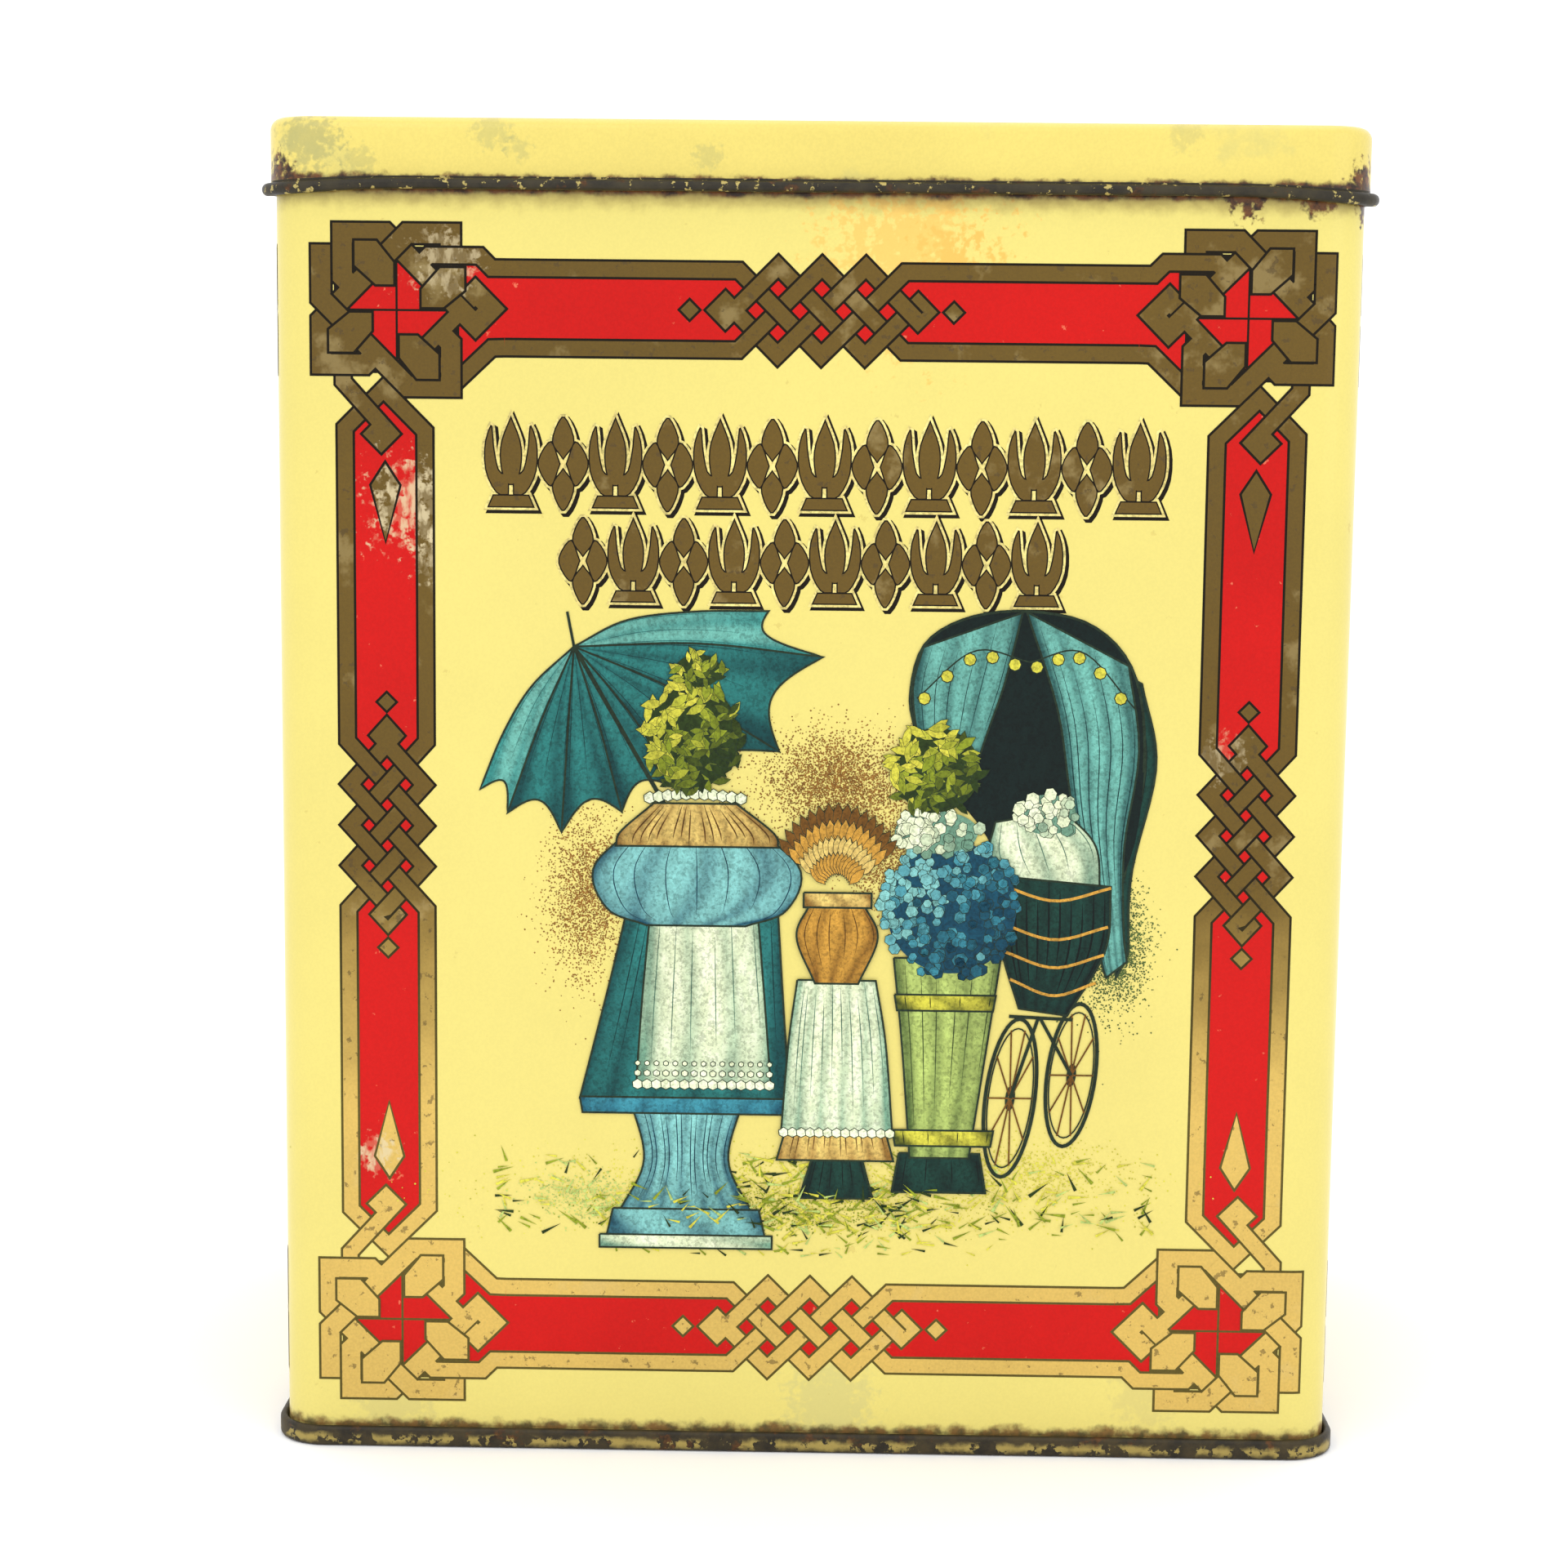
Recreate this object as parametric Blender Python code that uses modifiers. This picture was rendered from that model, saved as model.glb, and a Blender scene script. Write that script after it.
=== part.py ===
"""Rectangular slip-lid storage tin, made of formed tinplate.

Three stamped and rolled sheets make the tin. The body wrapper is one sheet bent round the
rounded rectangle and closed by a lock seam on its back wall, with a curled mouth and a hook along
its foot. The bottom end is a countersunk panel whose edge is rolled round that hook into a double
seam, with a ring of sealing compound in it. The lid is a drawn sheet with a curled edge, and lifts
straight off.

Frame: +Z up, front face towards -Y, origin at the centre of the base. Units are metres.
Every sheet is drawn as its centre line in (offset, height), where offset is measured outwards
from the outer face of the body wall, and is then swept round the body's plan and thickened.
"""

import math

import bmesh
import bpy

# Overall sizes
BODY_WIDTH = 0.158
BODY_DEPTH = 0.112
TIN_HEIGHT = 0.197
CORNER_RADIUS = 0.0063

# Sheet and clearances
SHEET = 0.00025
SEAM_GAP = 0.0002
REST_GAP = 0.0003
LID_CLEARANCE = 0.0005

# Lid
LID_HEIGHT = 0.0103
LID_EDGE_RADIUS = 0.0017
LID_CURL_DIAMETER = 0.0016

# Body
MOUTH_CURL_DIAMETER = 0.002
LOCK_SEAM_WIDTH = 0.005
LOCK_SEAM_LAYERS = 3
LOCK_SEAM_FROM_CORNER = 0.0003
SOLDER_WIDTH = 0.0006

# Bottom end
SEAM_HEIGHT = 0.003
PANEL_HEIGHT = 0.0034
PANEL_BEND_RADIUS = 0.0006
SEAM_FOOT_RADIUS = 0.0004
COMPOUND_HEIGHT = 0.0003

# Angles in degrees
LID_CURL_START = 180
MOUTH_CURL_START = 0
CURL_SWEEP = 270
SHARP_ANGLE = 40

# Fineness of the model
PLAN_STEPS = 8
FILLET_STEPS = 4
CURL_STEP_DEGREES = 24
PANEL_INSET = 0.5
SAME_POINT = 1e-6

# Sizes that follow from the ones above
HALF_SHEET = SHEET / 2
LAYER_PITCH = SHEET + SEAM_GAP
WALL = -HALF_SHEET
COVER_HOOK = WALL + LAYER_PITCH
BODY_HOOK = COVER_HOOK + LAYER_PITCH
SEAM_WALL = BODY_HOOK + LAYER_PITCH
CHUCK_WALL = WALL - LAYER_PITCH
HOOK_RADIUS = LAYER_PITCH
SEAM_TOP = SEAM_HEIGHT - HALF_SHEET
COMPOUND_FOOT = SHEET + SEAM_GAP
COMPOUND_TOP = COMPOUND_FOOT + COMPOUND_HEIGHT
HOOK_FOOT = COMPOUND_TOP + SEAM_GAP + HALF_SHEET
HOOK_TIP = SEAM_TOP - HOOK_RADIUS
COVER_TIP = HOOK_FOOT + HOOK_RADIUS
MOUTH_TOP = TIN_HEIGHT - SHEET - REST_GAP
LID_SKIRT = LID_CLEARANCE + HALF_SHEET
CURL_OPENING = SHEET + SEAM_GAP

BARE_TIN = (0.55, 0.53, 0.47)
CREAM_ENAMEL = (0.94, 0.77, 0.24)
COMPOUND_GREY = (0.16, 0.16, 0.15)
SOLDER_GREY = (0.42, 0.42, 0.41)


def clear_scene():
    """Removes what the file was opened with."""
    for old in list(bpy.data.objects):
        bpy.data.objects.remove(old)


def collection_named(name):
    """A new collection in the scene."""
    made = bpy.data.collections.new(name)
    bpy.context.scene.collection.children.link(made)
    return made


def material(name, colour, metallic, roughness):
    """A Principled material of one finish."""
    made = bpy.data.materials.new(name)
    made.use_nodes = True
    shader = made.node_tree.nodes["Principled BSDF"]
    shader.inputs["Base Color"].default_value = (*colour, 1.0)
    shader.inputs["Metallic"].default_value = metallic
    shader.inputs["Roughness"].default_value = roughness
    return made


def arc(centre, radius, start, end, steps):
    """Points on an arc, from the start angle to the end angle in degrees."""
    turns = (math.radians(start + (end - start) * i / steps) for i in range(steps + 1))
    return [(centre[0] + radius * math.cos(a), centre[1] + radius * math.sin(a)) for a in turns]


def bent_line(corners):
    """A sheet's centre line through corners (x, z, bend radius), with each bend drawn as an arc."""
    line = [corners[0][:2]]
    for (ax, az, _), (bx, bz, radius), (cx, cz, _) in zip(corners, corners[1:], corners[2:]):
        into = math.atan2(bz - az, bx - ax)
        out = math.atan2(cz - bz, cx - bx)
        turn = (out - into + math.pi) % (2 * math.pi) - math.pi
        side = math.copysign(math.pi / 2, turn)
        back = radius * math.tan(abs(turn) / 2)
        start = (bx - back * math.cos(into), bz - back * math.sin(into))
        centre = (start[0] + radius * math.cos(into + side), start[1] + radius * math.sin(into + side))
        first = math.degrees(into - side)
        line += arc(centre, radius, first, first + math.degrees(turn), FILLET_STEPS)
    line.append(corners[-1][:2])
    return [a for a, b in zip(line, line[1:]) if math.dist(a, b) > SAME_POINT] + line[-1:]


def curl_steps(sweep):
    """How many straight steps a curl of that many degrees is drawn with."""
    return round(abs(sweep) / CURL_STEP_DEGREES)


def curl_end(radius):
    """How far past the sweep, in degrees, a curl's tip is one opening clear of its own sheet."""
    return math.degrees(math.asin((radius - CURL_OPENING) / radius))


def plan_points():
    """The outer face of the body wall seen from above, anticlockwise."""
    half_x, half_y = BODY_WIDTH / 2 - CORNER_RADIUS, BODY_DEPTH / 2 - CORNER_RADIUS
    corners = [(half_x, -half_y, -90), (half_x, half_y, 0), (-half_x, half_y, 90), (-half_x, -half_y, 180)]
    return [p for x, y, a in corners for p in arc((x, y), CORNER_RADIUS, a, a + 90, PLAN_STEPS)]


def poly_curve(name, points, cyclic):
    """A curve object of straight pieces through flat points."""
    data = bpy.data.curves.new(name, "CURVE")
    data.dimensions = "3D"
    data.twist_mode = "Z_UP"
    spline = data.splines.new("POLY")
    spline.points.add(len(points) - 1)
    spline.use_cyclic_u = cyclic
    for point, (x, y) in zip(spline.points, points):
        point.co = (x, y, 0.0, 1.0)
    return bpy.data.objects.new(name, data)


def swept(name, section, closed, helpers):
    """The mesh that a section in (offset, height) makes when it is carried round the body's plan."""
    path = poly_curve(name + "_plan", plan_points(), True)
    profile = poly_curve(name + "_section", section, closed)
    for helper in (path, profile):
        helpers.objects.link(helper)
    path.data.bevel_mode = "OBJECT"
    path.data.bevel_object = profile
    bpy.context.view_layer.update()
    mesh = bpy.data.meshes.new_from_object(path.evaluated_get(bpy.context.evaluated_depsgraph_get()))
    mesh.name = name
    for helper in (path, profile):
        bpy.data.objects.remove(helper)
    return mesh


def fill_panel(mesh, level):
    """Closes a swept sheet's open loop at this height with one flat face."""
    shape = bmesh.new()
    shape.from_mesh(mesh)
    edges = [e for e in shape.edges if e.is_boundary and abs(e.verts[0].co.z - level) < HALF_SHEET]
    bmesh.ops.holes_fill(shape, edges=edges, sides=0)
    bmesh.ops.recalc_face_normals(shape, faces=shape.faces)
    shape.to_mesh(mesh)
    shape.free()


def placed(name, mesh, finish, tin):
    """An object of the tin that holds this mesh and finish."""
    made = bpy.data.objects.new(name, mesh)
    mesh.materials.append(finish)
    mesh.shade_smooth()
    mesh.set_sharp_from_angle(angle=math.radians(SHARP_ANGLE))
    tin.objects.link(made)
    return made


def thicken(piece):
    """Gives a sheet its thickness, half on each side of its centre line."""
    skin = piece.modifiers.new("sheet", "SOLIDIFY")
    skin.thickness = SHEET
    skin.offset = 0.0
    skin.use_even_offset = True


def make_lid(tin, helpers, finish):
    """The drawn lid: a flat top, a rounded edge, a skirt and an outward curl."""
    top = TIN_HEIGHT - HALF_SHEET
    radius = LID_CURL_DIAMETER / 2 - HALF_SHEET
    centre = (LID_SKIRT + radius, TIN_HEIGHT - LID_HEIGHT + LID_CURL_DIAMETER / 2)
    inner = -CORNER_RADIUS * PANEL_INSET
    end = LID_CURL_START + CURL_SWEEP + curl_end(radius)
    line = bent_line([
        (inner, top, 0.0),
        (LID_SKIRT, top, LID_EDGE_RADIUS - HALF_SHEET),
        (LID_SKIRT, centre[1], 0.0),
    ])
    line += arc(centre, radius, LID_CURL_START, end, curl_steps(end - LID_CURL_START))[1:]
    mesh = swept("lid_shell", line, False, helpers)
    fill_panel(mesh, top)
    thicken(placed("lid_shell", mesh, finish, tin))


def make_bottom(tin, helpers, finish):
    """The bottom end: raised panel, chuck wall down to the foot, and the seam rolled round the body's hook."""
    mesh = swept("bottom_end", bent_line([
        (-CORNER_RADIUS * PANEL_INSET, PANEL_HEIGHT, 0.0),
        (CHUCK_WALL, PANEL_HEIGHT, PANEL_BEND_RADIUS),
        (CHUCK_WALL, HALF_SHEET, SEAM_FOOT_RADIUS),
        (SEAM_WALL, HALF_SHEET, SEAM_FOOT_RADIUS),
        (SEAM_WALL, SEAM_TOP, HOOK_RADIUS),
        (COVER_HOOK, SEAM_TOP, HOOK_RADIUS),
        (COVER_HOOK, COVER_TIP, 0.0),
    ]), False, helpers)
    fill_panel(mesh, PANEL_HEIGHT)
    thicken(placed("bottom_end", mesh, finish, tin))


def make_body(tin, helpers, finish):
    """The body wrapper: foot hook, wall and inward mouth curl, and the lock seam's folds on the back wall."""
    radius = MOUTH_CURL_DIAMETER / 2 - HALF_SHEET
    centre = (WALL - radius, MOUTH_TOP - MOUTH_CURL_DIAMETER / 2)
    end = MOUTH_CURL_START + CURL_SWEEP + curl_end(radius)
    line = bent_line([
        (BODY_HOOK, HOOK_TIP, 0.0),
        (BODY_HOOK, HOOK_FOOT, HOOK_RADIUS),
        (WALL, HOOK_FOOT, HOOK_RADIUS),
        (WALL, centre[1], 0.0),
    ])
    line += arc(centre, radius, MOUTH_CURL_START, end, curl_steps(end))[1:]
    body = placed("body_wrapper", swept("body_wrapper", line, False, helpers), finish, tin)
    thicken(body)
    join = body.modifiers.new("lock_seam", "BOOLEAN")
    join.operation = "UNION"
    join.object = lock_seam_folds(helpers)


def lock_seam_span():
    """(left edge, right edge, foot, top) of the folded seam on the back wall."""
    right = BODY_WIDTH / 2 - CORNER_RADIUS - LOCK_SEAM_FROM_CORNER
    foot = PANEL_HEIGHT + HALF_SHEET + REST_GAP
    top = MOUTH_TOP - MOUTH_CURL_DIAMETER - REST_GAP
    return right - LOCK_SEAM_WIDTH, right, foot, top


def slab(name, low, high, rounding, holder):
    """A box between two corners, with its edges rounded."""
    bpy.ops.mesh.primitive_cube_add(size=1.0)
    made = bpy.context.object
    made.name = name
    for user in list(made.users_collection):
        user.objects.unlink(made)
    holder.objects.link(made)
    middle = [(a + b) / 2 for a, b in zip(low, high)]
    sides = [b - a for a, b in zip(low, high)]
    for vertex in made.data.vertices:
        vertex.co = [m + s * c for m, s, c in zip(middle, sides, vertex.co)]
    edge = made.modifiers.new("edge", "BEVEL")
    edge.width = rounding
    edge.segments = 2
    return made


def lock_seam_folds(helpers):
    """The folded layers of the lock seam, which the wall carries on its inner face."""
    left, right, foot, top = lock_seam_span()
    inner_face = BODY_DEPTH / 2 - SHEET
    folds = slab(
        "lock_seam_folds",
        (left, inner_face - LOCK_SEAM_LAYERS * SHEET, foot),
        (right, inner_face + HALF_SHEET, top),
        HALF_SHEET / 2,
        helpers,
    )
    folds.hide_render = True
    folds.display_type = "WIRE"
    return folds


def make_solder(tin, finish):
    """The line of solder along the free edge of the lock seam, inside the tin."""
    left, _, foot, top = lock_seam_span()
    inner_face = BODY_DEPTH / 2 - SHEET
    bead = slab(
        "side_seam_solder",
        (left - SEAM_GAP - SOLDER_WIDTH, inner_face - SEAM_GAP - LOCK_SEAM_LAYERS * SHEET, foot),
        (left - SEAM_GAP, inner_face - SEAM_GAP, top),
        SOLDER_WIDTH / 4,
        tin,
    )
    bead.data.materials.append(finish)


def make_compound(tin, helpers, finish):
    """The ring of sealing compound under the body's hook, inside the double seam."""
    left = CHUCK_WALL + LAYER_PITCH - HALF_SHEET
    right = SEAM_WALL - LAYER_PITCH + HALF_SHEET
    section = [
        (left, COMPOUND_FOOT),
        (left, COMPOUND_TOP),
        (right, COMPOUND_TOP),
        (right, COMPOUND_FOOT),
    ]
    placed("seam_compound_ring", swept("seam_compound_ring", section, True, helpers), finish, tin)


def main():
    """Makes the five pieces of the tin."""
    clear_scene()
    tin = collection_named("storage_tin")
    helpers = collection_named("helpers")
    enamel = material("cream_enamel", CREAM_ENAMEL, 0.0, 0.3)
    bare = material("bare_tinplate", BARE_TIN, 0.9, 0.4)
    compound = material("seam_compound", COMPOUND_GREY, 0.0, 0.8)
    solder = material("solder", SOLDER_GREY, 0.9, 0.5)
    make_lid(tin, helpers, enamel)
    make_body(tin, helpers, enamel)
    make_bottom(tin, helpers, bare)
    make_compound(tin, helpers, compound)
    make_solder(tin, solder)


main()
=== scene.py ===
"""Printed slip-lid storage tin: the looks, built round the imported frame.

Three sheet-metal shells stand for the frame's lid, body and bottom end. The print lies on the
body's walls as thin layers of ink: a woven border on all four walls, rows of ornament, and a garden
picture. Wall coordinates are u, to the right along a wall from its middle, and v, up from the
base."""

import math

import bmesh
import bpy
import numpy as np
from mathutils import Matrix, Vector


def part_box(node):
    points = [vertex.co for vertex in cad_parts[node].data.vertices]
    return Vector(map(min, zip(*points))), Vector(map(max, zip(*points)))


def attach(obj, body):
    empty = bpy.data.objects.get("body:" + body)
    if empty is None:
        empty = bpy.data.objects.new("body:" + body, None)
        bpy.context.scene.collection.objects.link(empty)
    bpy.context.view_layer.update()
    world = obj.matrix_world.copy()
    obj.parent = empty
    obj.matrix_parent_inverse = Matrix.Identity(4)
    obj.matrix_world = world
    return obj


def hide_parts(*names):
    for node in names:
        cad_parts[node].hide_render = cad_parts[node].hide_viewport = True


bl_info = {
    "name": "Printed slip-lid tin",
    "version": (1, 0, 0),
    "blender": (4, 5, 0),
    "location": "3D View > Sidebar > Tin",
    "description": "Makes the shells, print and stage of a printed slip-lid tin round its frame",
    "category": "Add Mesh",
}

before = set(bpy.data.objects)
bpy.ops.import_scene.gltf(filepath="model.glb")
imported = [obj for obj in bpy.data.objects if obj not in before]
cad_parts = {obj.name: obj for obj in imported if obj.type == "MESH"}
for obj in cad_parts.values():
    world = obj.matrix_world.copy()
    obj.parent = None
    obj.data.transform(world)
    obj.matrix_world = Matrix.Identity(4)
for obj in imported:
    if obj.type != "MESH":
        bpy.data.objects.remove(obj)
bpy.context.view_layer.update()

MM = 0.001
FOOT_HOOK_REACH = 0.9 * MM  # how far the body's foot hook stands outside its wall
BODY_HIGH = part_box("body_wrapper")[1]
LID_LOW, LID_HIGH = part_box("lid_shell")
DROOP_REACH = 9 * MM  # how far round the plan a corner's droop is felt
WALLS = {"front": 0, "right": 1, "back": 2, "left": 3}
PICTURE_WALLS = ("front", "back")

PICTURE_LIFT = 0.8 * MM
FLOOR_DROP = 0.05 * MM
SEAM_MIDDLE = -69.9 * MM  # of the lock seam, on the back wall
SEAM_HALF = 2.5 * MM
LAYER_GAP = 0.2 * MM  # between two layers of sheet in a curl or a seam
COMPOUND = 0.3 * MM  # thickness of the compound between them
CURL_SWEEP = 270  # degrees that every curl turns before it closes on itself
LID_CURL_START = 180
MOUTH_CURL_START = 0
LID_DISH = 0.25 * MM  # how far the lid's middle lies below its edge
DROOP_START = 2 * MM  # below the lid's top, where its corners start to droop
ROSETTE_HIGH = 94 * MM

# Stage: each light's name, place, side and power, then the camera's place, turns and lens
LIGHTS = (
    ("key_light", (-0.55, -1.1, 0.95), 0.9, 2.2),
    ("fill_light", (0.75, -0.9, 0.5), 0.8, 1.0),
    ("top_light", (0.0, 0.1, 1.3), 1.0, 2.0),
)
FLOOR_HALF = 3.0
EXPOSURE = 0.35
CAMERA_RIGHT, CAMERA_AHEAD_OF_WALL, CAMERA_HIGH = 0.0019, 0.4164, 0.153
CAMERA_YAW, CAMERA_PITCH, CAMERA_ROLL = 0.0144, -0.1232, 0.0108
CAMERA_LENS, CAMERA_SENSOR = 65.6, 36

# Steps of the model
ARC_STEPS = 14
FLAT_STEPS = 22
BEND_STEPS = 6
CURL_STEPS = 22

# Inks, in the order of the print's material slots
GOLD, OUTLINE, RED, PAINT = range(4)
PRINT_FINISHES = ("gold_ink", "outline_ink", "red_ink", "picture_ink")
INK_STEP = 0.012 * MM
OWN_STEP = 0.015  # share of an ink step by which a shape lies above the one drawn before it
OWN_STEPS = 30
PAINT_STEP = 0.04


def linear(red, green, blue):
    """Scene-linear colour of a display colour given as three numbers up to 255."""
    shares = np.array([red, green, blue]) / 255
    low = shares / 12.92
    high = ((shares + 0.055) / 1.055) ** 2.4
    return tuple(float(c) for c in np.where(shares > 0.04045, high, low))


def length(name, description, default):
    """A length that a user can change."""
    return bpy.props.FloatProperty(
        name=name, description=description, default=default,
        precision=5, subtype="DISTANCE", unit="LENGTH",
    )


def tint(name, description, *display):
    """A colour that a user can change, with its default given as a display colour."""
    return bpy.props.FloatVectorProperty(
        name=name, description=description, default=linear(*display), min=0.0, max=1.0, subtype="COLOR"
    )


class TinSizes(bpy.types.PropertyGroup):
    """Sizes of the shells."""

    half_width: length("Half width", "From the middle to a side wall", BODY_HIGH.x - FOOT_HOOK_REACH)
    half_depth: length("Half depth", "From the middle to the front wall", BODY_HIGH.y - FOOT_HOOK_REACH)
    corner: length("Corner radius", "Radius of the upright corners", 6.3 * MM)
    sheet: length("Sheet", "Thickness of the tinplate", 0.25 * MM)
    body_top: length("Body top", "Height of the mouth", BODY_HIGH.z)
    lid_top: length("Lid top", "Height of the lid's top face", LID_HIGH.z)
    lid_foot: length("Lid foot", "Height of the lower edge of the lid's bead", LID_LOW.z)
    lid_gap: length("Lid gap", "From the body's wall to the lid's skirt", 0.5 * MM)
    lid_edge: length("Lid edge", "Radius of the lid's upper edge", 1.7 * MM)
    lid_bead: length("Lid bead", "Diameter of the bead at the lid's lower edge", 1.58 * MM)
    lid_dip: length("Lid dip", "How far the bead droops at the corners", 0.9 * MM)
    mouth_curl: length("Mouth curl", "Diameter of the curl round the mouth", 2.0 * MM)
    seam_top: length("Seam height", "Height of the double seam", 3.0 * MM)
    panel: length("Panel height", "Height of the bottom end's panel", 3.4 * MM)


class BorderSizes(bpy.types.PropertyGroup):
    """Sizes of the woven border."""

    knot_inset: length("Knot inset", "From a wall's edge to the middle of a corner knot", 17.7 * MM)
    top: length("Top", "Height of the middle of the upper knots", 169.6 * MM)
    foot: length("Foot", "Height of the middle of the lower knots", 19.5 * MM)
    shift: length("Shift", "How far right of the wall's middle the print sits", 0.6 * MM)
    unit: length("Knot unit", "Spacing of the knot's lattice", 3.12 * MM)
    knot_band: length("Knot band", "Gold width of a band in a knot", 2.75 * MM)
    bar_band: length("Bar band", "Gold width of a band along a bar", 2.15 * MM)
    outline: length("Outline", "Width of the dark line beside a band", 0.36 * MM)
    bar_reach: length("Bar reach", "From a bar's middle to the middle of its band", 5.65 * MM)
    flat_pitch: length("Level braid pitch", "Spacing of the crossings in a level braid", 6.3 * MM)
    upright_pitch: length("Upright braid pitch", "Spacing of the crossings in an upright braid", 6.05 * MM)
    upright_across: length("Upright braid half width", "From the middle to a crossing's tip", 5.45 * MM)


class TinColours(bpy.types.PropertyGroup):
    """Colours of the finishes."""

    enamel: tint("Enamel", "Printed ground of the body", 213, 199, 110)
    lid_enamel: tint("Lid enamel", "Ground of the lid", 212, 194, 101)
    # Painted light: the gold towards the foot of a wall, as it looks when lit.
    gold: tint("Gold", "Gold ink where it has kept its colour", 198, 166, 84)
    # Painted shade: the gold high on a wall, as it looks when shaded.
    shaded_gold: tint("Old gold", "Gold ink where it has darkened", 92, 70, 10)
    outline: tint("Outline", "Dark line ink", 22, 16, 5)
    # Line ink towards the foot of a wall: lighter and more olive than higher up.
    foot_outline: tint("Worn outline", "Line ink where it has faded", 84, 74, 32)
    red: tint("Red", "Red ink", 186, 12, 8)
    tinplate: tint("Tinplate", "Bare tinned steel", 176, 174, 166)
    oxide: tint("Oxide", "Dark oxide on bare metal", 36, 32, 24)
    khaki: tint("Khaki", "Varnish left on bare metal", 158, 140, 76)
    lacquer: tint("Lacquer", "Lacquer inside the tin", 206, 186, 132)
    rust: tint("Rust", "Orange rust", 104, 62, 24)
    deep_rust: tint("Deep rust", "Dark rust", 40, 24, 12)
    compound: tint("Compound", "Sealing compound in the double seam", 40, 40, 38)
    solder: tint("Solder", "Solder on the side seam", 120, 122, 124)
    floor: tint("Floor", "Floor of the studio", 250, 250, 250)


# ---------------------------------------------------------------- plan and walls


def wall_runs(sizes):
    """Lengths of the plan's nine runs, from the middle of the front wall: half a flat, then arc and
    flat in turn."""
    across = 2 * (sizes.half_width - sizes.corner)
    deep = 2 * (sizes.half_depth - sizes.corner)
    arc = sizes.corner * math.pi / 2
    return np.array([across / 2, arc, deep, arc, across, arc, deep, arc, across / 2])


def round_the_walls(sizes, along):
    """Base point and outward direction at a distance round the plan.

    On a flat run the base moves straight along and the direction holds. On an arc the base is the
    corner's centre and the direction turns by the distance over the radius. A point of the wall is
    the base plus the corner radius along the direction."""
    runs = wall_runs(sizes)
    edges = np.concatenate([[0.0], np.cumsum(runs)])
    along = np.mod(along, edges[-1])
    run = np.clip(np.searchsorted(edges, along, side="right") - 1, 0, len(runs) - 1)
    into = along - edges[run]
    flat = run % 2 == 0
    turns = (run + 1) // 2 - 1 + np.where(flat, 0.0, into / (sizes.corner * math.pi / 2) - 1)
    angle = turns * math.pi / 2
    out = np.stack([np.cos(angle), np.sin(angle)], -1)
    x_inner = sizes.half_width - sizes.corner
    y_inner = sizes.half_depth - sizes.corner
    starts = np.array([
        (0.0, -y_inner), (x_inner, -y_inner), (x_inner, -y_inner), (x_inner, y_inner), (x_inner, y_inner),
        (-x_inner, y_inner), (-x_inner, y_inner), (-x_inner, -y_inner), (-x_inner, -y_inner),
    ])
    forward = np.stack([-out[..., 1], out[..., 0]], -1)
    return starts[run] + forward * np.where(flat, into, 0.0)[..., None], out


def wall_middle(sizes, wall):
    """Distance round the plan to the middle of a wall."""
    across = 2 * (sizes.half_width - sizes.corner)
    deep = 2 * (sizes.half_depth - sizes.corner)
    arc = sizes.corner * math.pi / 2
    return WALLS[wall] * (arc + (across + deep) / 2)


def plan_stations(sizes):
    """Distances round the plan at which a section is placed: even steps on flats, finer ones on
    arcs."""
    edges = np.concatenate([[0.0], np.cumsum(wall_runs(sizes))])
    spans = [
        np.linspace(low, high, (FLAT_STEPS if k % 2 == 0 else ARC_STEPS), endpoint=False)
        for k, (low, high) in enumerate(zip(edges, edges[1:]))
    ]
    return np.concatenate(spans)


# ---------------------------------------------------------------- sheet-metal sections


def bend(before, corner, after, radius):
    """Arc that rounds a corner of a line: it starts and ends where a circle of the radius touches
    both sides."""
    into = (corner - before) / np.linalg.norm(corner - before)
    out = (after - corner) / np.linalg.norm(after - corner)
    turn = math.atan2(into[0] * out[1] - into[1] * out[0], into @ out)
    start = corner - into * radius * math.tan(abs(turn) / 2)
    side = np.array([-into[1], into[0]]) * math.copysign(1, turn)
    angles = np.linspace(0, abs(turn), BEND_STEPS + 1)[:, None]
    return start + radius * (np.sin(angles) * into + (1 - np.cos(angles)) * side)


def bent_line(corners):
    """Centre line of a sheet through corners (offset, height, bend radius)."""
    points = np.array([c[:2] for c in corners])
    arcs = [bend(*points[i - 1:i + 2], corners[i][2]) for i in range(1, len(corners) - 1)]
    return without_repeats(np.concatenate([points[:1], *arcs, points[-1:]]))


def without_repeats(line):
    """The line with points that coincide with the one before left out."""
    keep = np.concatenate([[True], np.linalg.norm(np.diff(line, axis=0), axis=1) > 1e-3 * MM])
    return line[keep]


def curl(centre, radius, start, gap):
    """Arc of a curl from just after its start, in degrees: its sweep, and on until its end is a gap
    from the sheet."""
    end = start + CURL_SWEEP + math.degrees(math.asin((radius - gap) / radius))
    angles = np.radians(np.linspace(start, end, CURL_STEPS))
    return (np.array(centre) + radius * np.stack([np.cos(angles), np.sin(angles)], -1))[1:]


def both_sides(line, sheet):
    """The two faces of a sheet about its centre line, each half the thickness along the line's
    normal."""
    steps = np.gradient(line, axis=0)
    steps /= np.linalg.norm(steps, axis=1, keepdims=True)
    normal = np.stack([steps[:, 1], -steps[:, 0]], -1) * sheet / 2
    return line + normal, line - normal


def finer(line, spacing):
    """The line with extra points so that no step is longer than the spacing."""
    steps = np.linalg.norm(np.diff(line, axis=0), axis=1)
    counts = np.maximum(1, np.ceil(steps / spacing).astype(int))
    parts = [np.linspace(a, b, n, endpoint=False) for a, b, n in zip(line, line[1:], counts)]
    return np.concatenate([*parts, line[-1:]])


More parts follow.
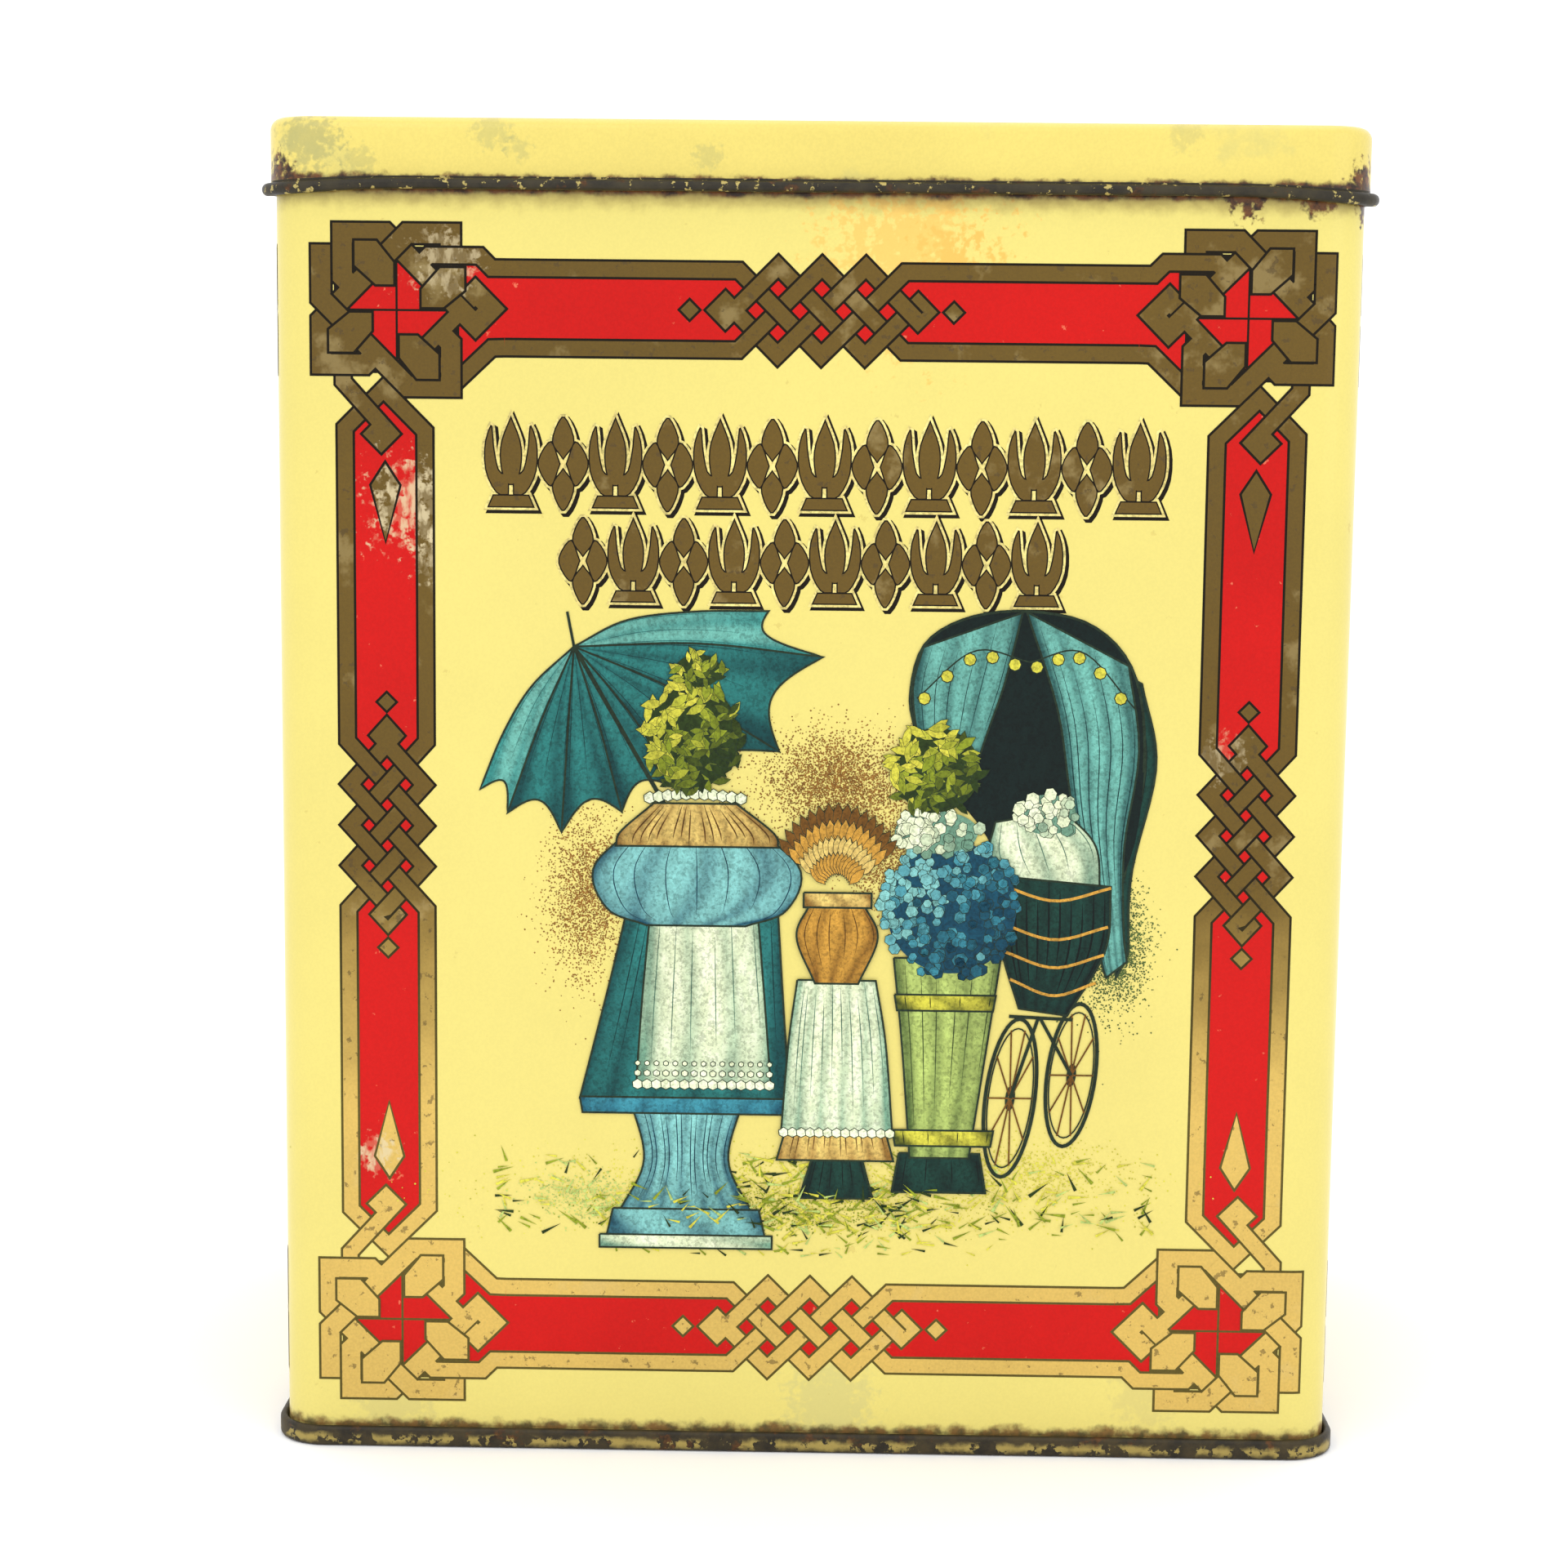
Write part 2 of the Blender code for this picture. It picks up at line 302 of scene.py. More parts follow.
def carried(sizes, section, scale, droop):
    """Grid of points that a section (offset, height) makes when it is carried round the plan.

    Each point is the plan's base plus the corner radius and offset along the outward direction,
    then drawn towards the tin's axis by its scale. Heights fall by the droop times a bell of the
    distance round the plan from the nearest corner's middle."""
    stations = plan_stations(sizes)
    base, out = round_the_walls(sizes, stations)
    flat = base[None] + (sizes.corner + section[:, 0, None, None]) * out[None]
    flat = flat * scale[:, None, None]
    edges = np.cumsum(wall_runs(sizes))
    middles = (edges[0:8:2] + edges[1:8:2]) / 2
    away = np.abs(stations[:, None] - middles).min(axis=1)
    bell = np.exp(-((away / DROOP_REACH) ** 2))
    height = section[:, 1, None] - droop[:, None] * bell[None]
    return np.concatenate([flat, height[..., None]], -1)


def grid_faces(rows, columns, wrap_rows, wrap_columns):
    """Quads of a grid whose points are numbered row by row."""
    down = np.arange(rows if wrap_rows else rows - 1)
    across = np.arange(columns if wrap_columns else columns - 1)
    a, b = np.meshgrid(down, across, indexing="ij")
    c, d = (a + 1) % rows, (b + 1) % columns
    corners = [a * columns + b, a * columns + d, c * columns + d, c * columns + b]
    return np.stack([k.ravel() for k in corners], -1)


def new_piece(name, points, faces, slots, face_slots, smooth=True):
    """A mesh object at the origin with these finishes."""
    mesh = bpy.data.meshes.new(name)
    mesh.from_pydata(points, [], faces)
    for finish in slots:
        mesh.materials.append(finish)
    mesh.polygons.foreach_set("material_index", np.asarray(face_slots, np.int32))
    mesh.polygons.foreach_set("use_smooth", np.full(len(faces), smooth))
    mesh.validate()
    mesh.update()
    piece = bpy.data.objects.new(name, mesh)
    bpy.context.scene.collection.objects.link(piece)
    return piece


def shell_piece(name, sizes, section, scale, droop, slots, row_slots, closed):
    """A shell carried round the plan. A closed section joins its last row to its first; an open one
    ends in poles."""
    grid = carried(sizes, section, scale, droop)
    rows, columns = grid.shape[:2]
    if closed:
        points = grid.reshape(-1, 3)
        faces = grid_faces(rows, columns, True, True)
        face_slots = np.repeat(row_slots, columns)
        return new_piece(name, points.tolist(), faces.tolist(), slots, face_slots)
    quads = grid_faces(rows, columns, False, True)
    ring = np.arange(columns)
    following = (ring + 1) % columns
    first, last = rows * columns, rows * columns + 1
    top = np.stack([following, ring, np.full(columns, first)], -1)
    under = np.stack([ring, following, np.full(columns, last)], -1) + [[(rows - 1) * columns] * 2 + [0]]
    poles = np.array([[0, 0, section[0, 1]], [0, 0, section[-1, 1]]])
    points = np.concatenate([grid.reshape(-1, 3), poles])
    faces = quads.tolist() + top.tolist() + under.tolist()
    caps = [np.full(columns, row_slots[0]), np.full(columns, row_slots[-1])]
    face_slots = np.concatenate([np.repeat(row_slots[:-1], columns), *caps])
    return new_piece(name, points.tolist(), faces, slots, face_slots)


def panel_section(line, sheet):
    """Section and scale of a sheet whose line starts at a flat panel: out along one face and back
    along the other.

    Panel rows shrink towards the axis by their scale, as even steps from the panel's middle to its
    edge."""
    one, other = both_sides(line, sheet)
    shrink = np.linspace(0.08, 0.92, 8)
    first = np.repeat(one[:1], len(shrink), axis=0)
    final = np.repeat(other[:1], len(shrink), axis=0)
    section = np.concatenate([first, one, other[::-1], final])
    scale = np.concatenate([shrink, np.ones(2 * len(line)), shrink[::-1]])
    return section, scale


# ---------------------------------------------------------------- node helpers


def node(tree, kind, inputs=None, **settings):
    """A shader node with its settings, and with its sockets set or linked by name or number."""
    made = tree.nodes.new(kind)
    for name, value in settings.items():
        setattr(made, name, value)
    for name, value in (inputs or {}).items():
        socket = made.inputs[name]
        if isinstance(value, bpy.types.NodeSocket):
            tree.links.new(value, socket)
        else:
            socket.default_value = value
    return made


def place_of(tree):
    """Object coordinates, in metres."""
    return node(tree, "ShaderNodeTexCoord").outputs["Object"]


def noise(tree, scale, detail=3.0, rough=0.55, stretch=(1, 1, 1)):
    """Noise over the object at a number of features per metre."""
    where = place_of(tree)
    if stretch != (1, 1, 1):
        where = node(tree, "ShaderNodeMapping", {"Vector": where, "Scale": stretch}).outputs[0]
    sockets = {"Vector": where, "Scale": scale, "Detail": detail, "Roughness": rough}
    return node(tree, "ShaderNodeTexNoise", sockets).outputs[0]


def ramp(tree, value, low, high, to_low=0.0, to_high=1.0):
    """Smooth step of a value between two levels."""
    sockets = {"Value": value, "From Min": low, "From Max": high, "To Min": to_low, "To Max": to_high}
    return node(tree, "ShaderNodeMapRange", sockets, interpolation_type="SMOOTHSTEP").outputs[0]


def maths(tree, operation, one, other=0.0):
    """One operation on two values."""
    return node(tree, "ShaderNodeMath", {0: one, 1: other}, operation=operation).outputs[0]


def blend(tree, share, one, other, how="MIX"):
    """Two colours mixed by a share."""
    pair = [(*c, 1.0) if isinstance(c, tuple) else c for c in (one, other)]
    sockets = {0: share, 6: pair[0], 7: pair[1]}
    return node(tree, "ShaderNodeMix", sockets, data_type="RGBA", blend_type=how).outputs[2]


def group(name, inputs, outputs):
    """A new shader node group: (tree, its input node's sockets, its output node)."""
    tree = bpy.data.node_groups.new(name, "ShaderNodeTree")
    for label, kind, default in inputs:
        socket = tree.interface.new_socket(label, in_out="INPUT", socket_type=kind)
        socket.default_value = default
    for label, kind in outputs:
        tree.interface.new_socket(label, in_out="OUTPUT", socket_type=kind)
    return tree, tree.nodes.new("NodeGroupInput").outputs, tree.nodes.new("NodeGroupOutput")


def use(tree, name, **inputs):
    """The outputs of a named group placed in a material, with its own values."""
    placed = tree.nodes.new("ShaderNodeGroup")
    placed.node_tree = bpy.data.node_groups[name]
    for label, value in inputs.items():
        socket = placed.inputs[label.replace("_", " ")]
        if isinstance(value, bpy.types.NodeSocket):
            tree.links.new(value, socket)
        else:
            socket.default_value = value
    return placed.outputs


def make_groups():
    """The effects that several finishes share."""
    number, vector, shade = "NodeSocketFloat", "NodeSocketVector", "NodeSocketColor"

    tree, given, result = group("spot", [
        ("Centre", vector, (0, 0, 0)), ("Radius", number, 0.01), ("Ragged", number, 0.5),
    ], [("Mask", number)])
    ends = {0: place_of(tree), 1: given["Centre"]}
    away = node(tree, "ShaderNodeVectorMath", ends, operation="DISTANCE")
    share = maths(tree, "DIVIDE", away.outputs["Value"], given["Radius"])
    ragged = maths(tree, "SUBTRACT", noise(tree, 900, 4), 0.5)
    rough_edge = maths(tree, "MULTIPLY", ragged, given["Ragged"])
    edge = maths(tree, "ADD", share, maths(tree, "MULTIPLY", rough_edge, 4.0))
    tree.links.new(ramp(tree, edge, 1.0, 0.45), result.inputs["Mask"])

    tree, given, result = group("height_band", [
        ("Level", number, 0.0), ("Fade", number, 0.004),
        ("Ragged", number, 0.5), ("Scale", number, 250.0),
    ], [("Mask", number)])
    height = node(tree, "ShaderNodeSeparateXYZ", {0: place_of(tree)}).outputs["Z"]
    apart = maths(tree, "ABSOLUTE", maths(tree, "SUBTRACT", height, given["Level"]))
    share = maths(tree, "DIVIDE", apart, given["Fade"])
    sockets = {"Vector": place_of(tree), "Scale": given["Scale"], "Detail": 4.0, "Roughness": 0.6}
    cloud = node(tree, "ShaderNodeTexNoise", sockets).outputs[0]
    shift = maths(tree, "MULTIPLY", maths(tree, "SUBTRACT", cloud, 0.5), given["Ragged"])
    edge = maths(tree, "ADD", share, maths(tree, "MULTIPLY", shift, 4.0))
    tree.links.new(ramp(tree, edge, 1.0, 0.0), result.inputs["Mask"])

    tree, given, result = group("flecks", [
        ("Scale", number, 400.0), ("Amount", number, 0.3), ("Softness", number, 0.04),
    ], [("Mask", number)])
    sockets = {"Vector": place_of(tree), "Scale": given["Scale"], "Detail": 5.0, "Roughness": 0.62}
    cloud = node(tree, "ShaderNodeTexNoise", sockets).outputs[0]
    threshold = maths(tree, "SUBTRACT", 0.72, maths(tree, "MULTIPLY", given["Amount"], 0.4))
    above = maths(tree, "DIVIDE", maths(tree, "SUBTRACT", cloud, threshold), given["Softness"])
    tree.links.new(ramp(tree, above, 0.0, 1.0), result.inputs["Mask"])

    tree, given, result = group("rust_tone", [
        ("Rust", shade, (1, 1, 1, 1)), ("Deep", shade, (0, 0, 0, 1)),
    ], [("Color", shade)])
    cloud = ramp(tree, noise(tree, 620, 5, 0.65), 0.36, 0.62)
    tree.links.new(blend(tree, cloud, given["Deep"], given["Rust"]), result.inputs["Color"])

    tree, given, result = group("print_tone", [
        ("Color", shade, (1, 1, 1, 1)), ("Strength", number, 0.05),
    ], [("Color", shade)])
    slow = ramp(tree, noise(tree, 28, 3), 0.3, 0.7, -1.0, 1.0)
    fine = ramp(tree, noise(tree, 2600, 2), 0.3, 0.7, -0.8, 0.8)
    change = maths(tree, "MULTIPLY", maths(tree, "ADD", slow, fine), given["Strength"])
    sockets = {"Value": maths(tree, "ADD", 1.0, change), "Color": given["Color"]}
    toned = node(tree, "ShaderNodeHueSaturation", sockets).outputs[0]
    tree.links.new(toned, result.inputs["Color"])

    tree, given, result = group("sheet_bump", [
        ("Wave", number, 1.0), ("Grain", number, 1.0),
    ], [("Height", number)])
    wave = maths(tree, "MULTIPLY", noise(tree, 14, 1), given["Wave"])
    grain = maths(tree, "MULTIPLY", noise(tree, 1500, 3), given["Grain"])
    tree.links.new(maths(tree, "ADD", wave, grain), result.inputs["Height"])


def finish(name, metallic=0.0, coat=0.0, gloss=0.5):
    """A new finish: (its node tree, its shader)."""
    made = bpy.data.materials.new(name)
    made.use_nodes = True
    tree = made.node_tree
    shader = tree.nodes["Principled BSDF"]
    shader.inputs["Metallic"].default_value = metallic
    shader.inputs["Coat Weight"].default_value = coat
    shader.inputs["Coat Roughness"].default_value = 0.12
    shader.inputs["Specular IOR Level"].default_value = gloss
    return tree, shader


def set_surface(tree, shader, colour, roughness, height=None, depth=0.1 * MM):
    """Links a finish's colour and roughness, and its height through a Bump node."""
    tree.links.new(colour, shader.inputs["Base Color"])
    if isinstance(roughness, bpy.types.NodeSocket):
        tree.links.new(roughness, shader.inputs["Roughness"])
    else:
        shader.inputs["Roughness"].default_value = roughness
    if height is not None:
        sockets = {"Height": height, "Distance": depth, "Strength": 1.0}
        tree.links.new(node(tree, "ShaderNodeBump", sockets).outputs[0], shader.inputs["Normal"])


# ---------------------------------------------------------------- finishes


def tinge(tree, colour, mask, strength, other):
    """The colour with another laid over it where a mask says, at a strength."""
    return blend(tree, maths(tree, "MULTIPLY", mask, strength), colour, other)


def rust_tone(tree, colours):
    """Rust, from orange to dark."""
    return use(tree, "rust_tone", Rust=(*colours.rust, 1), Deep=(*colours.deep_rust, 1))[0]


def toned(tree, colour, strength):
    """A colour, or a link to one, mottled by the print's tone."""
    given = colour if isinstance(colour, bpy.types.NodeSocket) else (*colour, 1)
    return use(tree, "print_tone", Color=given, Strength=strength)[0]


def spot(tree, centre, radius, ragged):
    """Mask of a ragged spot."""
    return use(tree, "spot", Centre=centre, Radius=radius, Ragged=ragged)[0]


def flecks(tree, scale, amount, softness):
    """Mask of scattered flecks."""
    return use(tree, "flecks", Scale=scale, Amount=amount, Softness=softness)[0]


def level_band(tree, level, fade, ragged, scale):
    """Mask of a ragged level strip at a height."""
    return use(tree, "height_band", Level=level, Fade=fade, Ragged=ragged, Scale=scale)[0]


def body_enamel(sizes, colours):
    """Glossy litho enamel of the walls: mottled, rusting along the seam, with a painted shadow under the lid.
    """
    tree, shader = finish("wall_enamel", coat=0.1, gloss=0.3)
    colour = toned(tree, colours.enamel, 0.022)
    rust = rust_tone(tree, colours)
    front = -sizes.half_depth
    for u, v, radius, ragged, display, strength in (
        (0.013, 0.1775, 0.013, 0.9, (236, 150, 36), 0.34),
        (0.021, 0.1745, 0.008, 0.9, (236, 150, 36), 0.28),
        (0.004, 0.0075, 0.008, 0.5, (176, 172, 118), 0.4),
        (-0.062, 0.007, 0.007, 0.5, (176, 166, 110), 0.35),
        (0.052, 0.010, 0.007, 0.5, (180, 168, 110), 0.3),
    ):
        stain = spot(tree, (u, front, v), radius, ragged)
        colour = tinge(tree, colour, stain, strength, linear(*display))
    # Painted shadow: a brown band on the wall just below the lid's bead, where the bead would shade it.
    painted_shadow_under_lid = level_band(tree, sizes.lid_foot, 0.0032, 0.28, 320.0)
    colour = tinge(tree, colour, painted_shadow_under_lid, 0.6, linear(112, 84, 36))
    colour = blend(tree, level_band(tree, sizes.lid_foot, 0.0009, 0.6, 300.0), colour, rust)
    foot = level_band(tree, sizes.seam_top, 0.0016, 0.7, 300.0)
    colour = tinge(tree, colour, foot, 0.9, rust)
    for u, into, drop, radius, ragged in (
        (0.0075, 0.0, 0.0004, 0.0030, 0.5),
        (0.0175, 0.0, 0.0002, 0.0030, 0.8),
        (0.0, 0.004, 0.0004, 0.0034, 0.8),
    ):
        where = (sizes.half_width - u, front + into, sizes.lid_foot - drop)
        colour = blend(tree, spot(tree, where, radius, ragged), colour, rust)
    colour = tinge(tree, colour, flecks(tree, 330.0, 0.06, 0.02), 0.25, linear(168, 140, 60))
    height = use(tree, "sheet_bump", Wave=1.0, Grain=0.02)[0]
    set_surface(tree, shader, colour, ramp(tree, foot, 0.0, 1.0, 0.28, 0.75), height, 0.5 * MM)


def lid_enamel(sizes, colours):
    """Enamel of the lid: cream with grey smudges where it is worn thin, and rust at the corners."""
    tree, shader = finish("cover_enamel", coat=0.1, gloss=0.3)
    thin = flecks(tree, 55.0, 0.42, 0.09)
    colour = tinge(tree, toned(tree, colours.lid_enamel, 0.035), thin, 0.2, linear(150, 158, 112))
    for u, v, radius, display, strength in (
        (-0.073, 0.1935, 0.0052, (112, 122, 92), 0.42), (-0.066, 0.1905, 0.0030, (120, 128, 92), 0.3),
        (-0.047, 0.1952, 0.0034, (136, 142, 98), 0.32), (-0.043, 0.1926, 0.0022, (136, 142, 98), 0.3),
        (-0.016, 0.1915, 0.0026, (136, 142, 98), 0.28), (0.052, 0.1956, 0.0030, (146, 146, 98), 0.25),
    ):
        smudge = spot(tree, (u, -sizes.half_depth, v), radius, 0.65)
        colour = tinge(tree, colour, smudge, strength, linear(*display))
    rust = rust_tone(tree, colours)
    bead_top = sizes.lid_foot + sizes.lid_bead
    colour = blend(tree, level_band(tree, bead_top, 0.0009, 0.7, 420.0), colour, rust)
    for x in (-1, 1):
        for y in (-1, 1):
            corner = (x * (sizes.half_width - 0.0005), y * (sizes.half_depth - 0.001), bead_top + 0.0008)
            colour = blend(tree, spot(tree, corner, 0.0036, 0.6), colour, rust)
    height = use(tree, "sheet_bump", Wave=1.0, Grain=0.03)[0]
    set_surface(tree, shader, colour, ramp(tree, thin, 0, 1, 0.3, 0.45), height, 0.5 * MM)


def worn_metal(name, colours, fleck_colour, amount, scale, dark, strip=None):
    """Bare edge metal gone dark with oxide, with flecks of varnish left on it.

    Where a strip is given, the flecks keep to it, so that their pale band along it is partly a painted
    highlight."""
    tree, shader = finish(name, metallic=0.55)
    cloud = ramp(tree, noise(tree, 210, 5, 0.65), 0.35, 0.7)
    colour = blend(tree, cloud, colours.oxide[:], dark)
    colour = tinge(tree, colour, flecks(tree, 260.0, 0.36, 0.08), 0.6, rust_tone(tree, colours))
    left = flecks(tree, scale, amount, 0.03)
    if strip:
        left = maths(tree, "MULTIPLY", left, level_band(tree, *strip))
    colour = blend(tree, left, colour, fleck_colour)
    height = maths(tree, "ADD", left, noise(tree, 1800, 4))
    set_surface(tree, shader, colour, ramp(tree, cloud, 0, 1, 0.42, 0.62), height, 0.05 * MM)


def plain_sheet(name, colour, colours, spotting, rolled):
    """Clean inner or under side of the sheet: rolled grain, with a few rust spots."""
    tree, shader = finish(name, metallic=0.8)
    grain = noise(tree, 900, 3, stretch=rolled)
    tone = toned(tree, colour, 0.05)
    tone = blend(tree, ramp(tree, grain, 0.3, 0.7, 0, 0.25), tone, (0.25, 0.23, 0.2))
    tone = blend(tree, flecks(tree, 190.0, spotting, 0.03), tone, rust_tone(tree, colours))
    set_surface(tree, shader, tone, ramp(tree, grain, 0.2, 0.8, 0.28, 0.5), grain, 0.03 * MM)


def rippled(name, metallic, scale, detail, stretch, colour, pale, roughness, depth):
    """A dull finish whose ripples are paler at their tops: the sealing compound's and the
    solder's."""
    tree, shader = finish(name, metallic=metallic)
    ripple = noise(tree, scale, detail, stretch=stretch)
    tone = blend(tree, ramp(tree, ripple, 0.3, 0.7), colour, pale)
    set_surface(tree, shader, tone, roughness, ripple, depth)


def scuffed(tree, colour, sizes):
    """The colour with its rubbed, whitish places on the front."""
    for u, v, radius, strength in (
        (-0.0585, 0.1415, 0.0065, 0.75), (-0.0545, 0.1340, 0.0040, 0.6), (-0.0540, 0.1770, 0.0050, 0.5),
        (-0.0640, 0.0450, 0.0030, 0.8), (0.0600, 0.1060, 0.0035, 0.4),
    ):
        mask = spot(tree, (u, -sizes.half_depth, v), radius, 0.9)
        streaks = ramp(tree, noise(tree, 800, 4, stretch=(1, 1, 0.4)), 0.42, 0.6, 0.2, 1.0)
        share = maths(tree, "MULTIPLY", mask, streaks)
        colour = tinge(tree, colour, share, strength, linear(206, 190, 150))
    return colour


def inked(tree, shader, colour, roughness):
    """Sets an ink's surface, with the fine tooth of print."""
    set_surface(tree, shader, colour, roughness, noise(tree, 2200, 2), 0.02 * MM)


def height_of(tree):
    """Height above the base."""
    return node(tree, "ShaderNodeSeparateXYZ", {0: place_of(tree)}).outputs["Z"]


def gold_ink(sizes, colours):
    """Gold ink with dark specks, and with painted light and shade: painted shade turns it bronze high
    on a wall, and painted light keeps it light towards the foot."""
    tree, shader = finish("gold_ink", metallic=0.1, gloss=0.3)
    cloud = maths(tree, "MULTIPLY", maths(tree, "SUBTRACT", noise(tree, 60, 3), 0.5), 0.03)
    # Painted light and shade: the gold runs from lit gold near the foot to shaded bronze high on the wall.
    level = ramp(tree, maths(tree, "ADD", height_of(tree), cloud), 0.050, 0.090)
    colour = toned(tree, blend(tree, level, colours.gold[:], colours.shaded_gold[:]), 0.07)
    colour = tinge(tree, colour, flecks(tree, 95.0, 0.35, 0.1), 0.22, linear(196, 176, 120))
    colour = tinge(tree, colour, flecks(tree, 700.0, 0.26, 0.03), 0.6, linear(70, 54, 24))
    inked(tree, shader, scuffed(tree, colour, sizes), ramp(tree, cloud, -0.01, 0.01, 0.34, 0.46))


def outline_ink(colours):
    """Dark line ink, olive towards the foot and darkest high on a wall."""
    tree, shader = finish("outline_ink", gloss=0.12)
    # The line ink runs from olive at the foot to its darkest high on the wall.
    level = ramp(tree, height_of(tree), 0.045, 0.095)
    colour = blend(tree, level, colours.foot_outline[:], colours.outline[:])
    inked(tree, shader, toned(tree, colour, 0.12), 0.36)


def red_ink(sizes, colours):
    """Red ink with faint mottling and a few worn specks."""
    tree, shader = finish("red_ink", gloss=0.16)
    colour = toned(tree, colours.red, 0.06)
    colour = tinge(tree, colour, flecks(tree, 520.0, 0.12, 0.03), 0.4, linear(236, 150, 110))
    inked(tree, shader, scuffed(tree, colour, sizes), 0.3)


def picture_ink():
    """The picture's inks: each point's own colour, mottled, with the fine dark stipple of a
    print."""
    tree, shader = finish("picture_ink", gloss=0.16)
    colour = toned(tree, node(tree, "ShaderNodeAttribute", attribute_name="ink").outputs["Color"], 0.16)
    streaks = ramp(tree, noise(tree, 420, 4, 0.6, stretch=(1.6, 1.6, 0.7)), 0.42, 0.62, 0.0, 0.22)
    colour = blend(tree, streaks, colour, (1.0, 1.0, 1.0), "OVERLAY")
    stipple = maths(tree, "MULTIPLY", flecks(tree, 1700.0, 0.5, 0.05), 0.3)
    inked(tree, shader, blend(tree, stipple, colour, linear(24, 52, 48), "MULTIPLY"), 0.33)


def named(*names):
    """The finishes with these names."""
    return [bpy.data.materials[name] for name in names]


def make_finishes(sizes, colours):
    """Every finish of the tin."""
    make_groups()
    body_enamel(sizes, colours)
    lid_enamel(sizes, colours)
    worn_metal("lid_bead_metal", colours, linear(170, 154, 92), 0.30, 620.0, linear(62, 56, 40))
    # Partly painted highlight: the seam's khaki varnish flecks gather in a strip along its face, a pale band
    # that stands in for the seam's highlight.
    strip = (1.2 * MM, 1.1 * MM, 0.5, 420.0)
    worn_metal("seam_metal", colours, colours.khaki[:], 0.60, 300.0, linear(70, 60, 38), strip)
    plain_sheet("base_tinplate", colours.tinplate, colours, 0.3, (1, 6, 1))
    plain_sheet("inside_lacquer", colours.lacquer, colours, 0.05, (1, 1, 5))
    pale_compound, pale_solder = linear(66, 64, 60), linear(160, 160, 158)
    rippled("sealing_compound", 0.0, 1400, 3, (1, 1, 1), colours.compound[:], pale_compound, 0.8, 0.05 * MM)
    rippled("dull_solder", 0.85, 700, 2, (1, 1, 0.3), colours.solder[:], pale_solder, 0.42, 0.08 * MM)
    gold_ink(sizes, colours)
    outline_ink(colours)
    red_ink(sizes, colours)
    picture_ink()


# ---------------------------------------------------------------- print on the walls


def mitred(path, closed=False):
    """Offset direction at each point of a path: the mean of its two sides' left normals, lengthened
    for the mitre."""
    ahead = np.roll(path, -1, axis=0) - path
    ahead /= np.maximum(np.linalg.norm(ahead, axis=1, keepdims=True), 1e-12)
    left = np.stack([-ahead[:, 1], ahead[:, 0]], -1)
    before = np.roll(left, 1, axis=0)
    if not closed:
        before[0] = left[0]
        left[-1] = before[-1]
    return (left + before) / np.maximum(1 + np.sum(left * before, axis=1, keepdims=True), 0.3)


def inset(outline, distance):
    """A closed outline moved inwards by a distance on every side."""
    ahead = np.roll(outline, -1, axis=0)
    area = np.sum(outline[:, 0] * ahead[:, 1] - outline[:, 1] * ahead[:, 0])
    return outline + mitred(outline, closed=True) * distance * math.copysign(1, area)


def ribbon(path, width):
    """Points and quads of a band along a path: half the width to either side, mitred at its
    corners."""
    path = np.asarray(path, float)
    reach = mitred(path) * np.broadcast_to(np.asarray(width) / 2, len(path))[:, None]
    points = np.concatenate([path + reach, path - reach])
    first = np.arange(len(path) - 1)
    return points, np.stack([first, first + 1, first + 1 + len(path), first + len(path)], -1)


class Artwork:
    """Flat shapes on one wall, each in one ink, at rising print levels so that no two share a
    height."""

    def __init__(self):
        self.points = []
        self.levels = []
        self.colours = []
        self.faces = []
        self.inks = []
        self.count = 0
        self.shapes = 0
        self.painted = 0.0

    def height(self, level, span=PAINT_STEP):
        """Height of the next shape: a hair over its print level, or over all that is painted when
        it has none."""
        if level is None:
            self.painted += span
            return self.painted - span
        self.shapes += 1
        return level + self.shapes % OWN_STEPS * OWN_STEP

    def add(self, points, faces, heights, ink, colour=(1, 1, 1)):
        """Adds points in wall coordinates, with faces turned to run anticlockwise so that they face
        outwards."""
        points = np.asarray(points, float).reshape(-1, 2)
        faces = np.asarray(faces)
        ring = points[faces]
        ahead = np.roll(ring, -1, axis=1)
        area = np.sum(ring[..., 0] * ahead[..., 1] - ring[..., 1] * ahead[..., 0], axis=1)
        faces = np.where(area[:, None] < 0, faces[:, ::-1], faces)[np.abs(area) > 1e-14]
        self.points.append(points)
        self.levels.append(np.broadcast_to(heights, len(points)).astype(float))
        self.colours.append(np.broadcast_to(np.reshape(colour, (-1, 3)), (len(points), 3)))
        self.faces += (faces + self.count).tolist()
        self.inks += [ink] * len(faces)
        self.count += len(points)

    def polygon(self, outline, level, ink, colour=(1, 1, 1)):
        """Adds one filled outline."""
        self.add(outline, [np.arange(len(outline))], self.height(level), ink, colour)

    def band(self, path, width, level, ink, colour=(1, 1, 1)):
        """Adds a band along a path, rising a little on the way so that it can fold over itself."""
        climb = PAINT_STEP * 0.8 if level is None else OWN_STEP * OWN_STEPS * 0.8
        rise = np.tile(np.linspace(0, climb, len(path)), 2)
        points, faces = ribbon(path, width)
        self.add(points, faces, self.height(level) + rise, ink, colour)

    def lined(self, outline, line, level, ink=GOLD):
        """Adds a filled outline with a dark line round its inside."""
        self.polygon(outline, level, OUTLINE)
        self.polygon(inset(np.asarray(outline, float), line), level + 1, ink)

    def ruled(self, path, width, line, level):
        """Adds a gold band with a dark line along both its sides."""
        self.band(path, width + 2 * line, level, OUTLINE)
        self.band(path, width, level + 1, GOLD)

    def stroke(self, path, width, colour=None):
        """Adds a painted stroke, dark unless it has a colour, from a path and a width in
        millimetres."""
        colour = SHADOW if colour is None else colour
        self.band(np.multiply(path, MM), width * MM, None, PAINT, colour)


